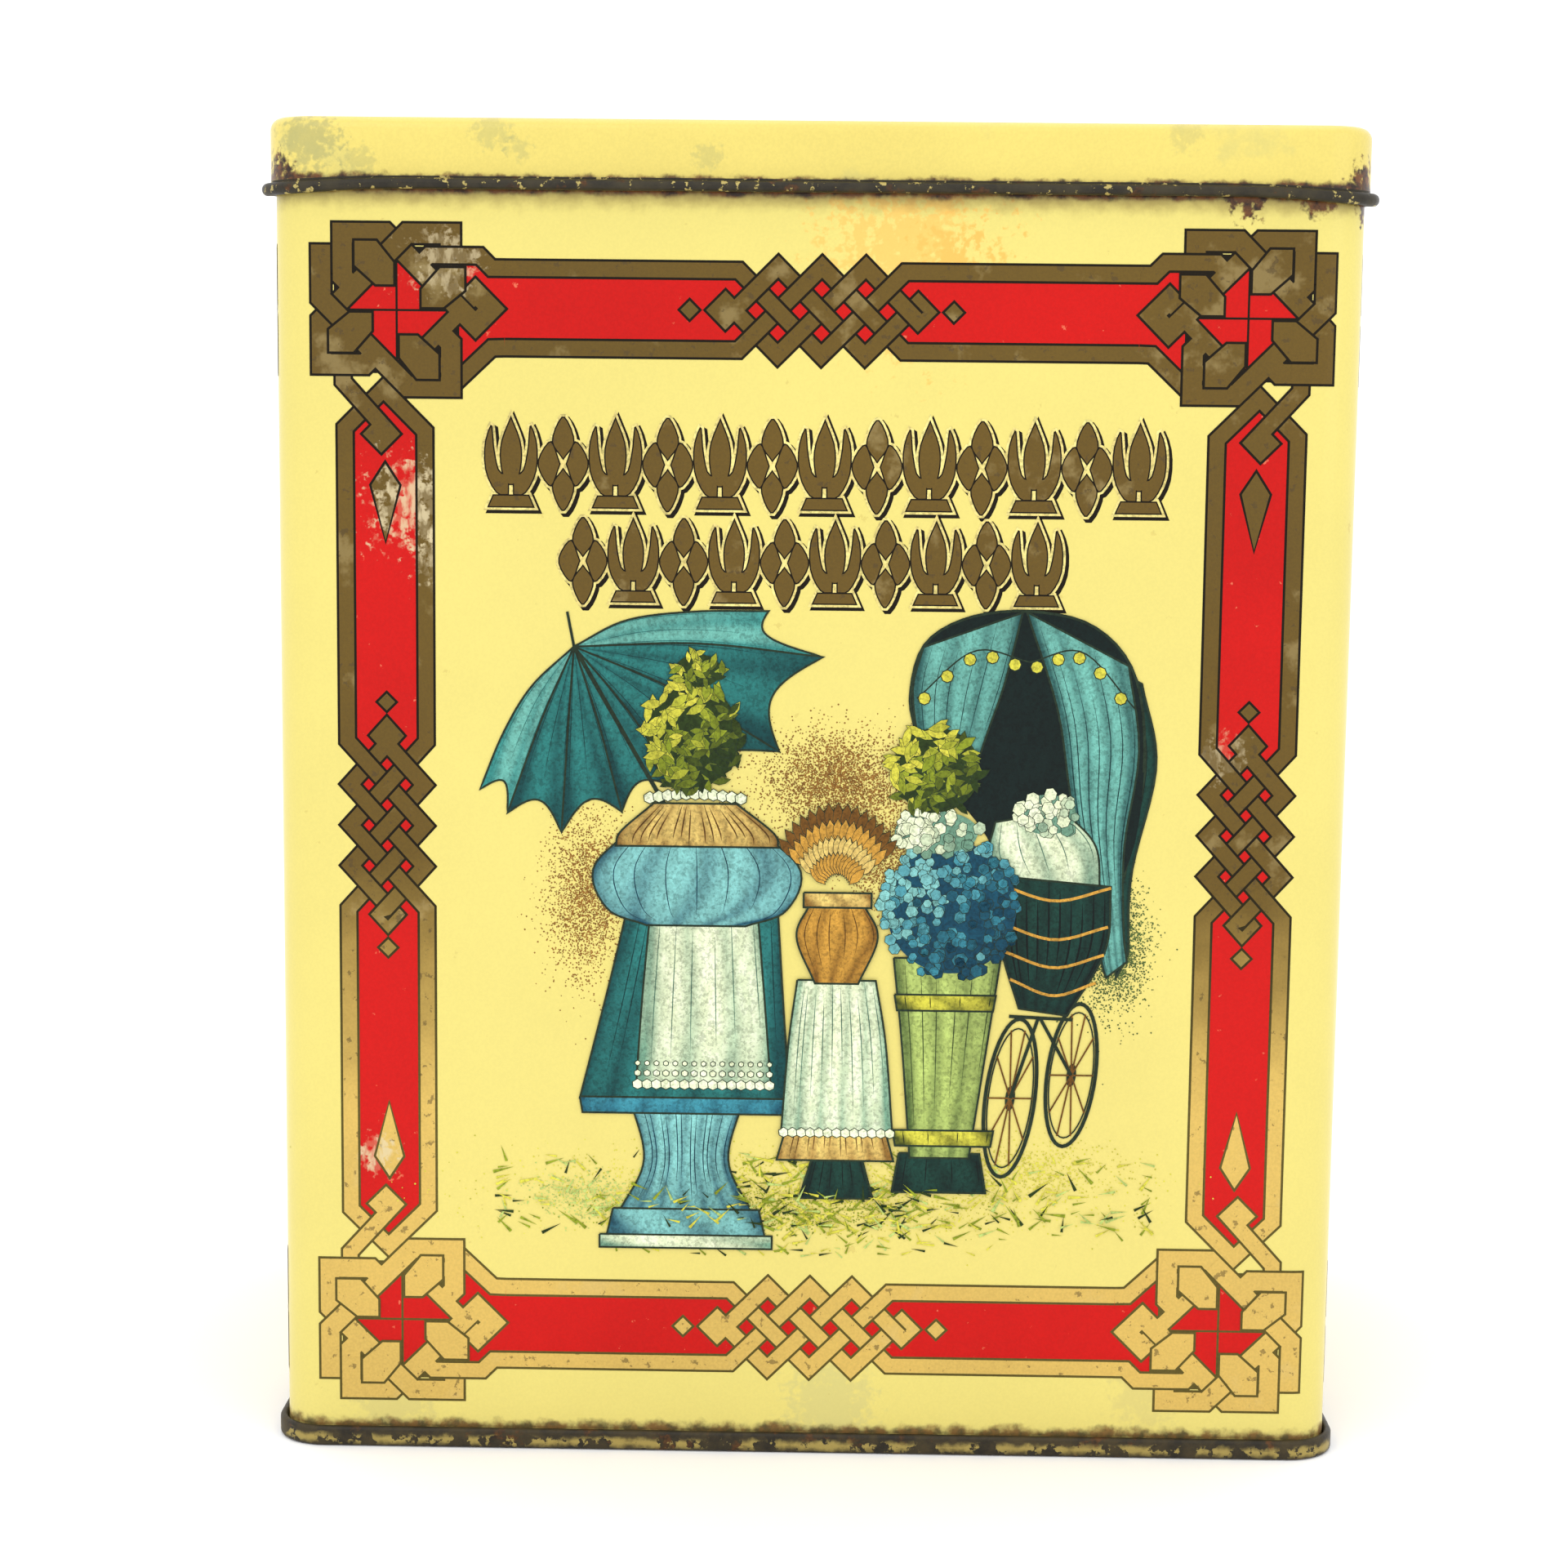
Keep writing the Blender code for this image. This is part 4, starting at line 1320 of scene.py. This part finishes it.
def blossom_tub(art, rng):
    """A mound of blue blossoms with yellow-green leaves above, in a tall olive tub on a low dark
    foot."""
    patch(art, [(13.0, 45.5), (12.0, 39.5)], [(25.0, 45.5), (26.0, 39.5)], FOREST, DEEP_FOREST, 2)
    staves = [(27.6, 75), (25.8, 62), (23.4, 44.8)]
    patch(art, [(11.8, 75), (13.2, 62), (14.6, 44.8)], staves, OLIVE, DEEP_OLIVE)
    for high in (69.5, 49.0):
        low = high - 2.4
        patch(art, [(12.0, high), (12.4, low)], [(27.0, high), (26.6, low)], PALE_LEAF, DEEP_LEAF, 2)
    foliage(art, rng, (20.2, 82.6), 10.4, 10.6, (PALE_BLUE, BLUE, DEEP_BLUE), 230, 1.15, PETAL_SHAPE)
    foliage(art, rng, (17.8, 93.8), 6.6, 3.4, (CLOTH, CLOTH, CLOTH_SHADE), 55, 1.2, PETAL_SHAPE)
    foliage(art, rng, (17.6, 103.0), 6.9, 6.7, LEAF_TONES, 120)


def pram(art, rng):
    """A garden pram: tall teal hood with a fringe of bobbles and drawn drapes, dark basket and thin
    wheels."""
    forest, drape = (FOREST, DEEP_FOREST), (PALE_TEAL, DEEP_TEAL)
    wheel(art, (38.4, 57.6), 3.6, 10.8, 0.10)
    wheel(art, (29.4, 54.0), 3.7, 12.0, 0.10)
    for bar in (
        [(29.4, 54.0), (33.4, 66.4)], [(38.4, 57.6), (33.6, 66.2)], [(29.0, 66.4), (38.4, 66.0)],
    ):
        art.stroke(bar, 0.5)
    side = [(45.6, 117), (48.2, 104), (44.6, 82), (44.6, 72.2)]
    patch(art, side, [(47.4, 116), (49.8, 104), (46.6, 88), (46.4, 76)], *forest, 1)
    hood = rounded([
        (14.6, 108.0), (13.6, 114.0), (15.6, 121.4), (22.0, 125.4), (31.0, 126.4), (40.0, 124.4),
        (46.0, 118.0), (48.0, 107.0), (46.8, 92.0), (42.0, 84.5), (30.0, 86.5), (24.0, 95.0), (17.0, 103.0),
    ], 60)
    art.polygon(hood * MM, None, PAINT, DEEP_FOREST)
    near = [(15.4, 121.0), (14.0, 115), (14.8, 108), (16.0, 103.5)]
    patch(art, near, [(29.8, 126.2), (27.4, 116), (24.8, 108), (22.8, 101.5)], *drape, strokes=0.12)
    far = [(30.4, 126.3), (35.2, 112), (37.6, 98), (42.2, 76), (43.2, 72.4)]
    patch(art, far, [(45.4, 118.6), (47.2, 106), (45.4, 92), (45.6, 80), (46.2, 74.8)], *drape, 3.5)
    for start, end in (((14.6, 113.5), (31.0, 119.0)), ((31.0, 119.0), (46.4, 112.4))):
        middle = ((start[0] + end[0]) / 2, max(start[1], end[1]) + 1.5)
        string = smooth([start, middle, end], 16)
        art.stroke(string, 0.22)
        scatter(art, string[1::3] - [0, 1.0], ellipse((0, 0), 1, 1, 8), 0.85, 0.0, PALE_LEAF, 0.16)
    art.stroke(hood[:34], 0.4)
    pillow = [(26.4, 95.4), (25.6, 90.4), (28.4, 86.8)]
    patch(art, pillow, [(36.4, 97.2), (41.2, 92.0), (42.0, 84.6)], CLOTH, CLOTH_SHADE, 2.5)
    foliage(art, rng, (34.0, 96.6), 4.6, 3.2, (CLOTH, CLOTH, CLOTH_SHADE), 40, 1.2, PETAL_SHAPE)
    basket = [(27.0, 87.4), (27.6, 77), (30.4, 67.6)]
    patch(art, basket, [(43.6, 86.0), (43.0, 76.5), (37.6, 66.6)], *forest, 5, strokes=0.3)
    for high, reach in ((86.2, 0.0), (80.4, 0.3), (76.2, 0.8), (72.0, 1.9)):
        trim = [(27.1 + reach, high), (35.4, high - 2.4), (43.6 - reach, high - 0.4)]
        art.stroke(smooth(trim, 12), 0.42, OCHRE)


def garden_picture():
    """The garden picture: halos and grass first, then the things from the back to the front."""
    art, rng = Artwork(), np.random.default_rng(7)
    for middle, across, high, count, colour in (
        ((-33.6, 84.0), 6.5, 13.5, 3600, HALO), ((3.0, 101.0), 12.0, 8.0, 5200, HALO),
        ((10.0, 90.0), 6.0, 9.0, 1800, HALO), ((44.2, 77.0), 5.5, 10.0, 3400, DEEP_OLIVE),
        ((0.0, 39.5), 44.0, 6.5, 3000, PALE_LEAF), ((-8.0, 36.0), 26.0, 3.6, 1100, LEAF),
        ((32.0, 43.0), 14.0, 4.5, 900, PALE_LEAF), ((-33.0, 38.0), 10.0, 4.0, 700, OLIVE),
    ):
        stipple(art, rng, middle, across, high, count, colour)
    grass(art, rng, 33.0, 45.0, (-46, 50), 420)
    grass(art, rng, 29.5, 33.0, (-30, 30), 60, 0.9)
    parasol(art)
    pram(art, rng)
    garden_table(art, rng)
    blossom_tub(art, rng)
    wheat_fan(art)
    grass(art, rng, 34.0, 40.0, (-40, 44), 150, 1.1)
    return art


def raised(art, outline, place):
    """A gold figure with a dark line, a pale rim, and a dark edge of shadow to its lower right."""
    outline = place(outline)
    art.polygon(inset(outline, -0.42 * MM) + [0.42 * MM, -0.42 * MM], 1, OUTLINE)
    art.polygon(inset(outline, -0.34 * MM), 2, PAINT, linear(214, 196, 120))
    art.lined(outline, 0.2 * MM, 3)


def ornament_rows():
    """Two rows of gold ornament: a lily and a four-leaf in turn."""
    art = Artwork()
    spear = rounded([
        (0, 1.04), (0.2, 0.76), (0.23, 0.52), (0.12, 0.28), (-0.12, 0.28), (-0.23, 0.52), (-0.2, 0.76),
    ], 22)
    horn = rounded([
        (0.04, 0.14), (0.30, 0.16), (0.53, 0.40), (0.55, 0.72),
        (0.40, 0.94), (0.34, 0.66), (0.24, 0.42), (0.05, 0.36),
    ], 24)
    foot = np.array([(-0.5, 0.0), (0.5, 0.0), (0.38, 0.15), (-0.38, 0.15)])
    side = rounded([(0.05, 0.5), (0.26, 0.76), (0.54, 0.5), (0.26, 0.24)], 18)
    upright = rounded([(0, 0.54), (0.24, 0.76), (0, 1.04), (-0.24, 0.76)], 18)
    lily = [spear, horn, horn * [-1, 1], foot]
    four_leaf = [side, side * [-1, 1], upright, upright * [1, -1] + [0, 1]]
    for left, right, low, high, count, first in (
        (-48.6, 50.0, 140.6, 153.4, 13, 0),
        (-38.0, 35.4, 127.0, 139.0, 10, 1),
    ):
        pitch = (right - left) / count
        for k in range(count):
            middle = left + pitch * (k + 0.5)
            place = placing((middle * MM, low * MM), (0.92 * pitch * MM, 0), (0, (high - low) * MM))
            for figure in (lily, four_leaf)[(k + first) % 2]:
                raised(art, figure, place)
    return art


def rosette():
    """A rosette: eight gold petals over eight red ones that show between them, round a gold eye."""
    art = Artwork()
    petal = rounded([(0, 2.6), (2.6, 7.2), (2.2, 11.4), (0, 14.6), (-2.2, 11.4), (-2.6, 7.2)], 26) * MM
    for k in range(16):
        angle = k % 8 * math.pi / 4 + (math.pi / 8 if k < 8 else 0)
        cos, sin = math.cos(angle), math.sin(angle)
        turn = placing((0, ROSETTE_HIGH), (cos, sin), (-sin, cos))
        level, ink, size = (1, RED, 0.86) if k < 8 else (3, GOLD, 1.0)
        art.lined(turn(petal * size), 0.4 * MM, level, ink)
    art.lined(ellipse((0, ROSETTE_HIGH), 2.8 * MM, 2.8 * MM, 24), 0.4 * MM, 5)
    return art


def moved(art, shift, lift):
    """The artwork, moved over its wall."""
    art.points = [points + [shift, lift] for points in art.points]
    return art


# ---------------------------------------------------------------- operators


class TIN_OT_finishes(bpy.types.Operator):
    """Make the finishes that the pieces take"""

    bl_idname = "tin.finishes"
    bl_label = "Finishes"

    def execute(self, context):
        make_finishes(context.scene.tin_sizes, context.scene.tin_colours)
        return {"FINISHED"}


class TIN_OT_lid(bpy.types.Operator):
    """Make the drawn lid: flat top, rounded edge, skirt and rolled bead"""

    bl_idname = "tin.lid"
    bl_label = "Lid"

    def execute(self, context):
        sizes = context.scene.tin_sizes
        half = sizes.sheet / 2
        top = sizes.lid_top - half
        skirt = sizes.lid_gap + half
        radius = sizes.lid_bead / 2 - half
        middle = (skirt + radius, sizes.lid_foot + sizes.lid_bead / 2)
        line = bent_line([
            (-sizes.corner / 2, top, 0),
            (skirt, top, sizes.lid_edge - half),
            (skirt, middle[1], 0),
        ])
        bead = curl(middle, radius, LID_CURL_START, sizes.sheet + LAYER_GAP)
        section, scale = panel_section(np.concatenate([finer(line, 1.2 * MM), bead]), sizes.sheet)
        section[:, 1] -= LID_DISH * (1 - np.clip(scale, 0, 1) ** 4)
        rows = len(section)
        outward = np.arange(rows) >= rows // 2
        low = section[:, 1] < sizes.lid_foot + sizes.lid_bead * 1.02
        row_slots = np.where(low, 1, np.where(outward, 0, 2))
        start = sizes.lid_top - DROOP_START
        share = np.clip((start - section[:, 1]) / (start - sizes.lid_foot), 0, 1)
        droop = sizes.lid_dip * share ** 1.5
        slots = named("cover_enamel", "lid_bead_metal", "inside_lacquer")
        lid = shell_piece("drawn_lid", sizes, section, scale, droop, slots, row_slots, closed=False)
        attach(lid, "lid")
        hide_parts("lid_shell")
        return {"FINISHED"}


class TIN_OT_body(bpy.types.Operator):
    """Make the body wrapper: foot hook, wall and inward mouth curl"""

    bl_idname = "tin.body"
    bl_label = "Body"

    def execute(self, context):
        sizes = context.scene.tin_sizes
        half = sizes.sheet / 2
        wall = -half
        pitch = sizes.sheet + LAYER_GAP
        hook = wall + 2 * pitch
        hook_foot = pitch + COMPOUND + LAYER_GAP + half
        radius = sizes.mouth_curl / 2 - half
        middle = (wall - radius, sizes.body_top - sizes.mouth_curl / 2)
        line = bent_line([
            (hook, sizes.seam_top - half - pitch, 0),
            (hook, hook_foot, pitch),
            (wall, hook_foot, pitch),
            (wall, middle[1], 0),
        ])
        line = np.concatenate([finer(line, 4 * MM), curl(middle, radius, MOUTH_CURL_START, pitch)])
        outer, inner = both_sides(line, sizes.sheet)
        section = np.concatenate([outer, inner[::-1]])
        rows = len(section)
        inward = np.arange(rows) >= len(line)
        row_slots = np.where(inward | (section[:, 1] > middle[1]), 1, 0)
        slots = named("wall_enamel", "inside_lacquer")
        body = shell_piece(
            "body_shell", sizes, section, np.ones(rows), np.zeros(rows), slots, row_slots, closed=True
        )
        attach(body, "tin")
        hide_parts("body_wrapper")
        return {"FINISHED"}


class TIN_OT_bottom(bpy.types.Operator):
    """Make the bottom end: panel, chuck wall and double seam, and finish the compound and the
    solder"""

    bl_idname = "tin.bottom"
    bl_label = "Bottom end"

    def execute(self, context):
        sizes = context.scene.tin_sizes
        half = sizes.sheet / 2
        pitch = sizes.sheet + LAYER_GAP
        chuck = -half - pitch
        cover = -half + pitch
        outside = -half + 3 * pitch
        top = sizes.seam_top - half
        line = bent_line([
            (-sizes.corner / 2, sizes.panel, 0),
            (chuck, sizes.panel, 0.6 * MM),
            (chuck, half, 0.4 * MM),
            (outside, half, 0.4 * MM),
            (outside, top, pitch),
            (cover, top, pitch),
            (cover, 2 * pitch + COMPOUND + LAYER_GAP + half, 0),
        ])
        section, scale = panel_section(finer(line, 0.8 * MM), sizes.sheet)
        row_slots = np.where(section[:, 0] > -1.0 * MM, 0, 1)
        slots = named("seam_metal", "base_tinplate")
        level = np.zeros(len(scale))
        bottom = shell_piece("bottom_end_shell", sizes, section, scale, level, slots, row_slots, closed=False)
        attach(bottom, "tin")
        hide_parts("bottom_end")
        kept = {"seam_compound_ring": "sealing_compound", "side_seam_solder": "dull_solder"}
        for name, finish_name in kept.items():
            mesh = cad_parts[name].data
            mesh.materials.clear()
            mesh.materials.append(bpy.data.materials[finish_name])
        return {"FINISHED"}


class TIN_OT_border(bpy.types.Operator):
    """Print the woven border on all four walls"""

    bl_idname = "tin.border"
    bl_label = "Woven border"

    def execute(self, context):
        sizes = context.scene.tin_sizes
        for wall in WALLS:
            half_wall = sizes.half_width if wall in PICTURE_WALLS else sizes.half_depth
            art = border_on_wall(context.scene.tin_border, half_wall)
            printed_piece("border_" + wall, sizes, {wall: art})
        return {"FINISHED"}


class TIN_OT_ornament(bpy.types.Operator):
    """Print the rows of gold ornament, the side walls' rosettes, and the bare edges of the lock
    seam"""

    bl_idname = "tin.ornament"
    bl_label = "Ornament"

    def execute(self, context):
        sizes = context.scene.tin_sizes
        shift = context.scene.tin_border.shift
        rows = moved(ornament_rows(), shift, PICTURE_LIFT)
        printed_piece("ornament_rows", sizes, {wall: rows for wall in PICTURE_WALLS})
        printed_piece("side_rosettes", sizes, {"right": rosette(), "left": rosette()})
        seam = Artwork()
        for u in (SEAM_MIDDLE - SEAM_HALF, SEAM_MIDDLE + SEAM_HALF):
            run = [(u, sizes.seam_top + 0.4 * MM), (u, sizes.lid_top - 8.0 * MM)]
            seam.band(run, 0.45 * MM, 12, PAINT, linear(70, 62, 44))
        printed_piece("lock_seam_edges", sizes, {"back": seam})
        return {"FINISHED"}


class TIN_OT_picture(bpy.types.Operator):
    """Print the garden picture on the front and the back"""

    bl_idname = "tin.picture"
    bl_label = "Garden picture"

    def execute(self, context):
        sizes = context.scene.tin_sizes
        picture = moved(garden_picture(), context.scene.tin_border.shift, PICTURE_LIFT)
        for wall in PICTURE_WALLS:
            printed_piece("picture_" + wall, sizes, {wall: picture})
        return {"FINISHED"}


class TIN_OT_stage(bpy.types.Operator):
    """Make the floor, the soft light and the camera"""

    bl_idname = "tin.stage"
    bl_label = "Stage"

    def execute(self, context):
        scene = context.scene
        signs = ((-1, -1), (1, -1), (1, 1), (-1, 1))
        corners = [(x * FLOOR_HALF, y * FLOOR_HALF, -FLOOR_DROP) for x, y in signs]
        tree, shader = finish("studio_floor")
        set_surface(tree, shader, toned(tree, scene.tin_colours.floor, 0.004), 0.9)
        floor = new_piece("studio_floor", corners, [(0, 1, 2, 3)], named("studio_floor"), [0], smooth=False)
        world = bpy.data.worlds.new("studio")
        world.use_nodes = True
        background = world.node_tree.nodes["Background"].inputs
        background["Color"].default_value = (1, 1, 1, 1)
        background["Strength"].default_value = 1.0
        scene.world = world
        for light in LIGHTS:
            soft_box(*light)
        scene.view_settings.view_transform = "Standard"
        scene.view_settings.exposure = EXPOSURE
        scene.camera = make_camera(scene)
        return {"FINISHED"}


def soft_box(name, where, side, power):
    """A square area light aimed at the middle of the tin."""
    lamp = bpy.data.lights.new(name, "AREA")
    lamp.size = side
    lamp.energy = power
    holder = bpy.data.objects.new(name, lamp)
    aim = np.array([0, 0, LID_HIGH.z / 2]) - np.array(where)
    holder.location = where
    holder.rotation_mode = "QUATERNION"
    holder.rotation_quaternion = direction_turn(aim)
    bpy.context.scene.collection.objects.link(holder)


def direction_turn(aim):
    """Rotation that looks along a direction, with up kept up."""
    ahead = np.asarray(aim, float) / np.linalg.norm(aim)
    right = np.cross(ahead, (0, 0, 1))
    right /= np.linalg.norm(right)
    up = np.cross(right, ahead)
    return Matrix(np.stack([right, up, -ahead], -1).tolist()).to_quaternion()


def make_camera(scene):
    """Camera level with the upper part of the tin, close in front and looking slightly down."""
    flat = math.cos(CAMERA_PITCH)
    right = np.array([math.cos(CAMERA_YAW), math.sin(CAMERA_YAW), 0])
    ahead = np.array([-right[1] * flat, right[0] * flat, math.sin(CAMERA_PITCH)])
    up = np.cross(right, ahead)
    turned_right = right * math.cos(CAMERA_ROLL) + up * math.sin(CAMERA_ROLL)
    turned_up = up * math.cos(CAMERA_ROLL) - right * math.sin(CAMERA_ROLL)
    data = bpy.data.cameras.new("camera")
    data.sensor_width = CAMERA_SENSOR
    data.lens = CAMERA_LENS
    camera = bpy.data.objects.new("camera", data)
    front = -scene.tin_sizes.half_depth
    camera.location = (CAMERA_RIGHT, front - CAMERA_AHEAD_OF_WALL, CAMERA_HIGH)
    camera.rotation_mode = "QUATERNION"
    turn = np.stack([turned_right, turned_up, -ahead], -1)
    camera.rotation_quaternion = Matrix(turn.tolist()).to_quaternion()
    scene.collection.objects.link(camera)
    return camera


STEPS = (
    TIN_OT_finishes,
    TIN_OT_lid,
    TIN_OT_body,
    TIN_OT_bottom,
    TIN_OT_border,
    TIN_OT_ornament,
    TIN_OT_picture,
    TIN_OT_stage,
)


class TIN_PT_panel(bpy.types.Panel):
    """Lists the steps that make the tin"""

    bl_idname = "TIN_PT_panel"
    bl_label = "Printed tin"
    bl_space_type = "VIEW_3D"
    bl_region_type = "UI"
    bl_category = "Tin"

    def draw(self, context):
        for step in STEPS:
            self.layout.operator(step.bl_idname)
        for settings in (context.scene.tin_sizes, context.scene.tin_border, context.scene.tin_colours):
            box = self.layout.box()
            for name in settings.__annotations__:
                box.prop(settings, name)


SETTINGS = {"tin_sizes": TinSizes, "tin_border": BorderSizes, "tin_colours": TinColours}


def register():
    """Registers the classes, and hangs the settings on the scene."""
    for made in (*SETTINGS.values(), *STEPS, TIN_PT_panel):
        bpy.utils.register_class(made)
    for name, made in SETTINGS.items():
        setattr(bpy.types.Scene, name, bpy.props.PointerProperty(type=made))


def unregister():
    """Takes back what register() did."""
    for name in SETTINGS:
        delattr(bpy.types.Scene, name)
    for made in reversed((*SETTINGS.values(), *STEPS, TIN_PT_panel)):
        bpy.utils.unregister_class(made)


def main():
    """Makes the whole tin and its stage."""
    register()
    for step in STEPS:
        space, name = step.bl_idname.split(".")
        getattr(getattr(bpy.ops, space), name)()


if __name__ == "__main__":
    main()
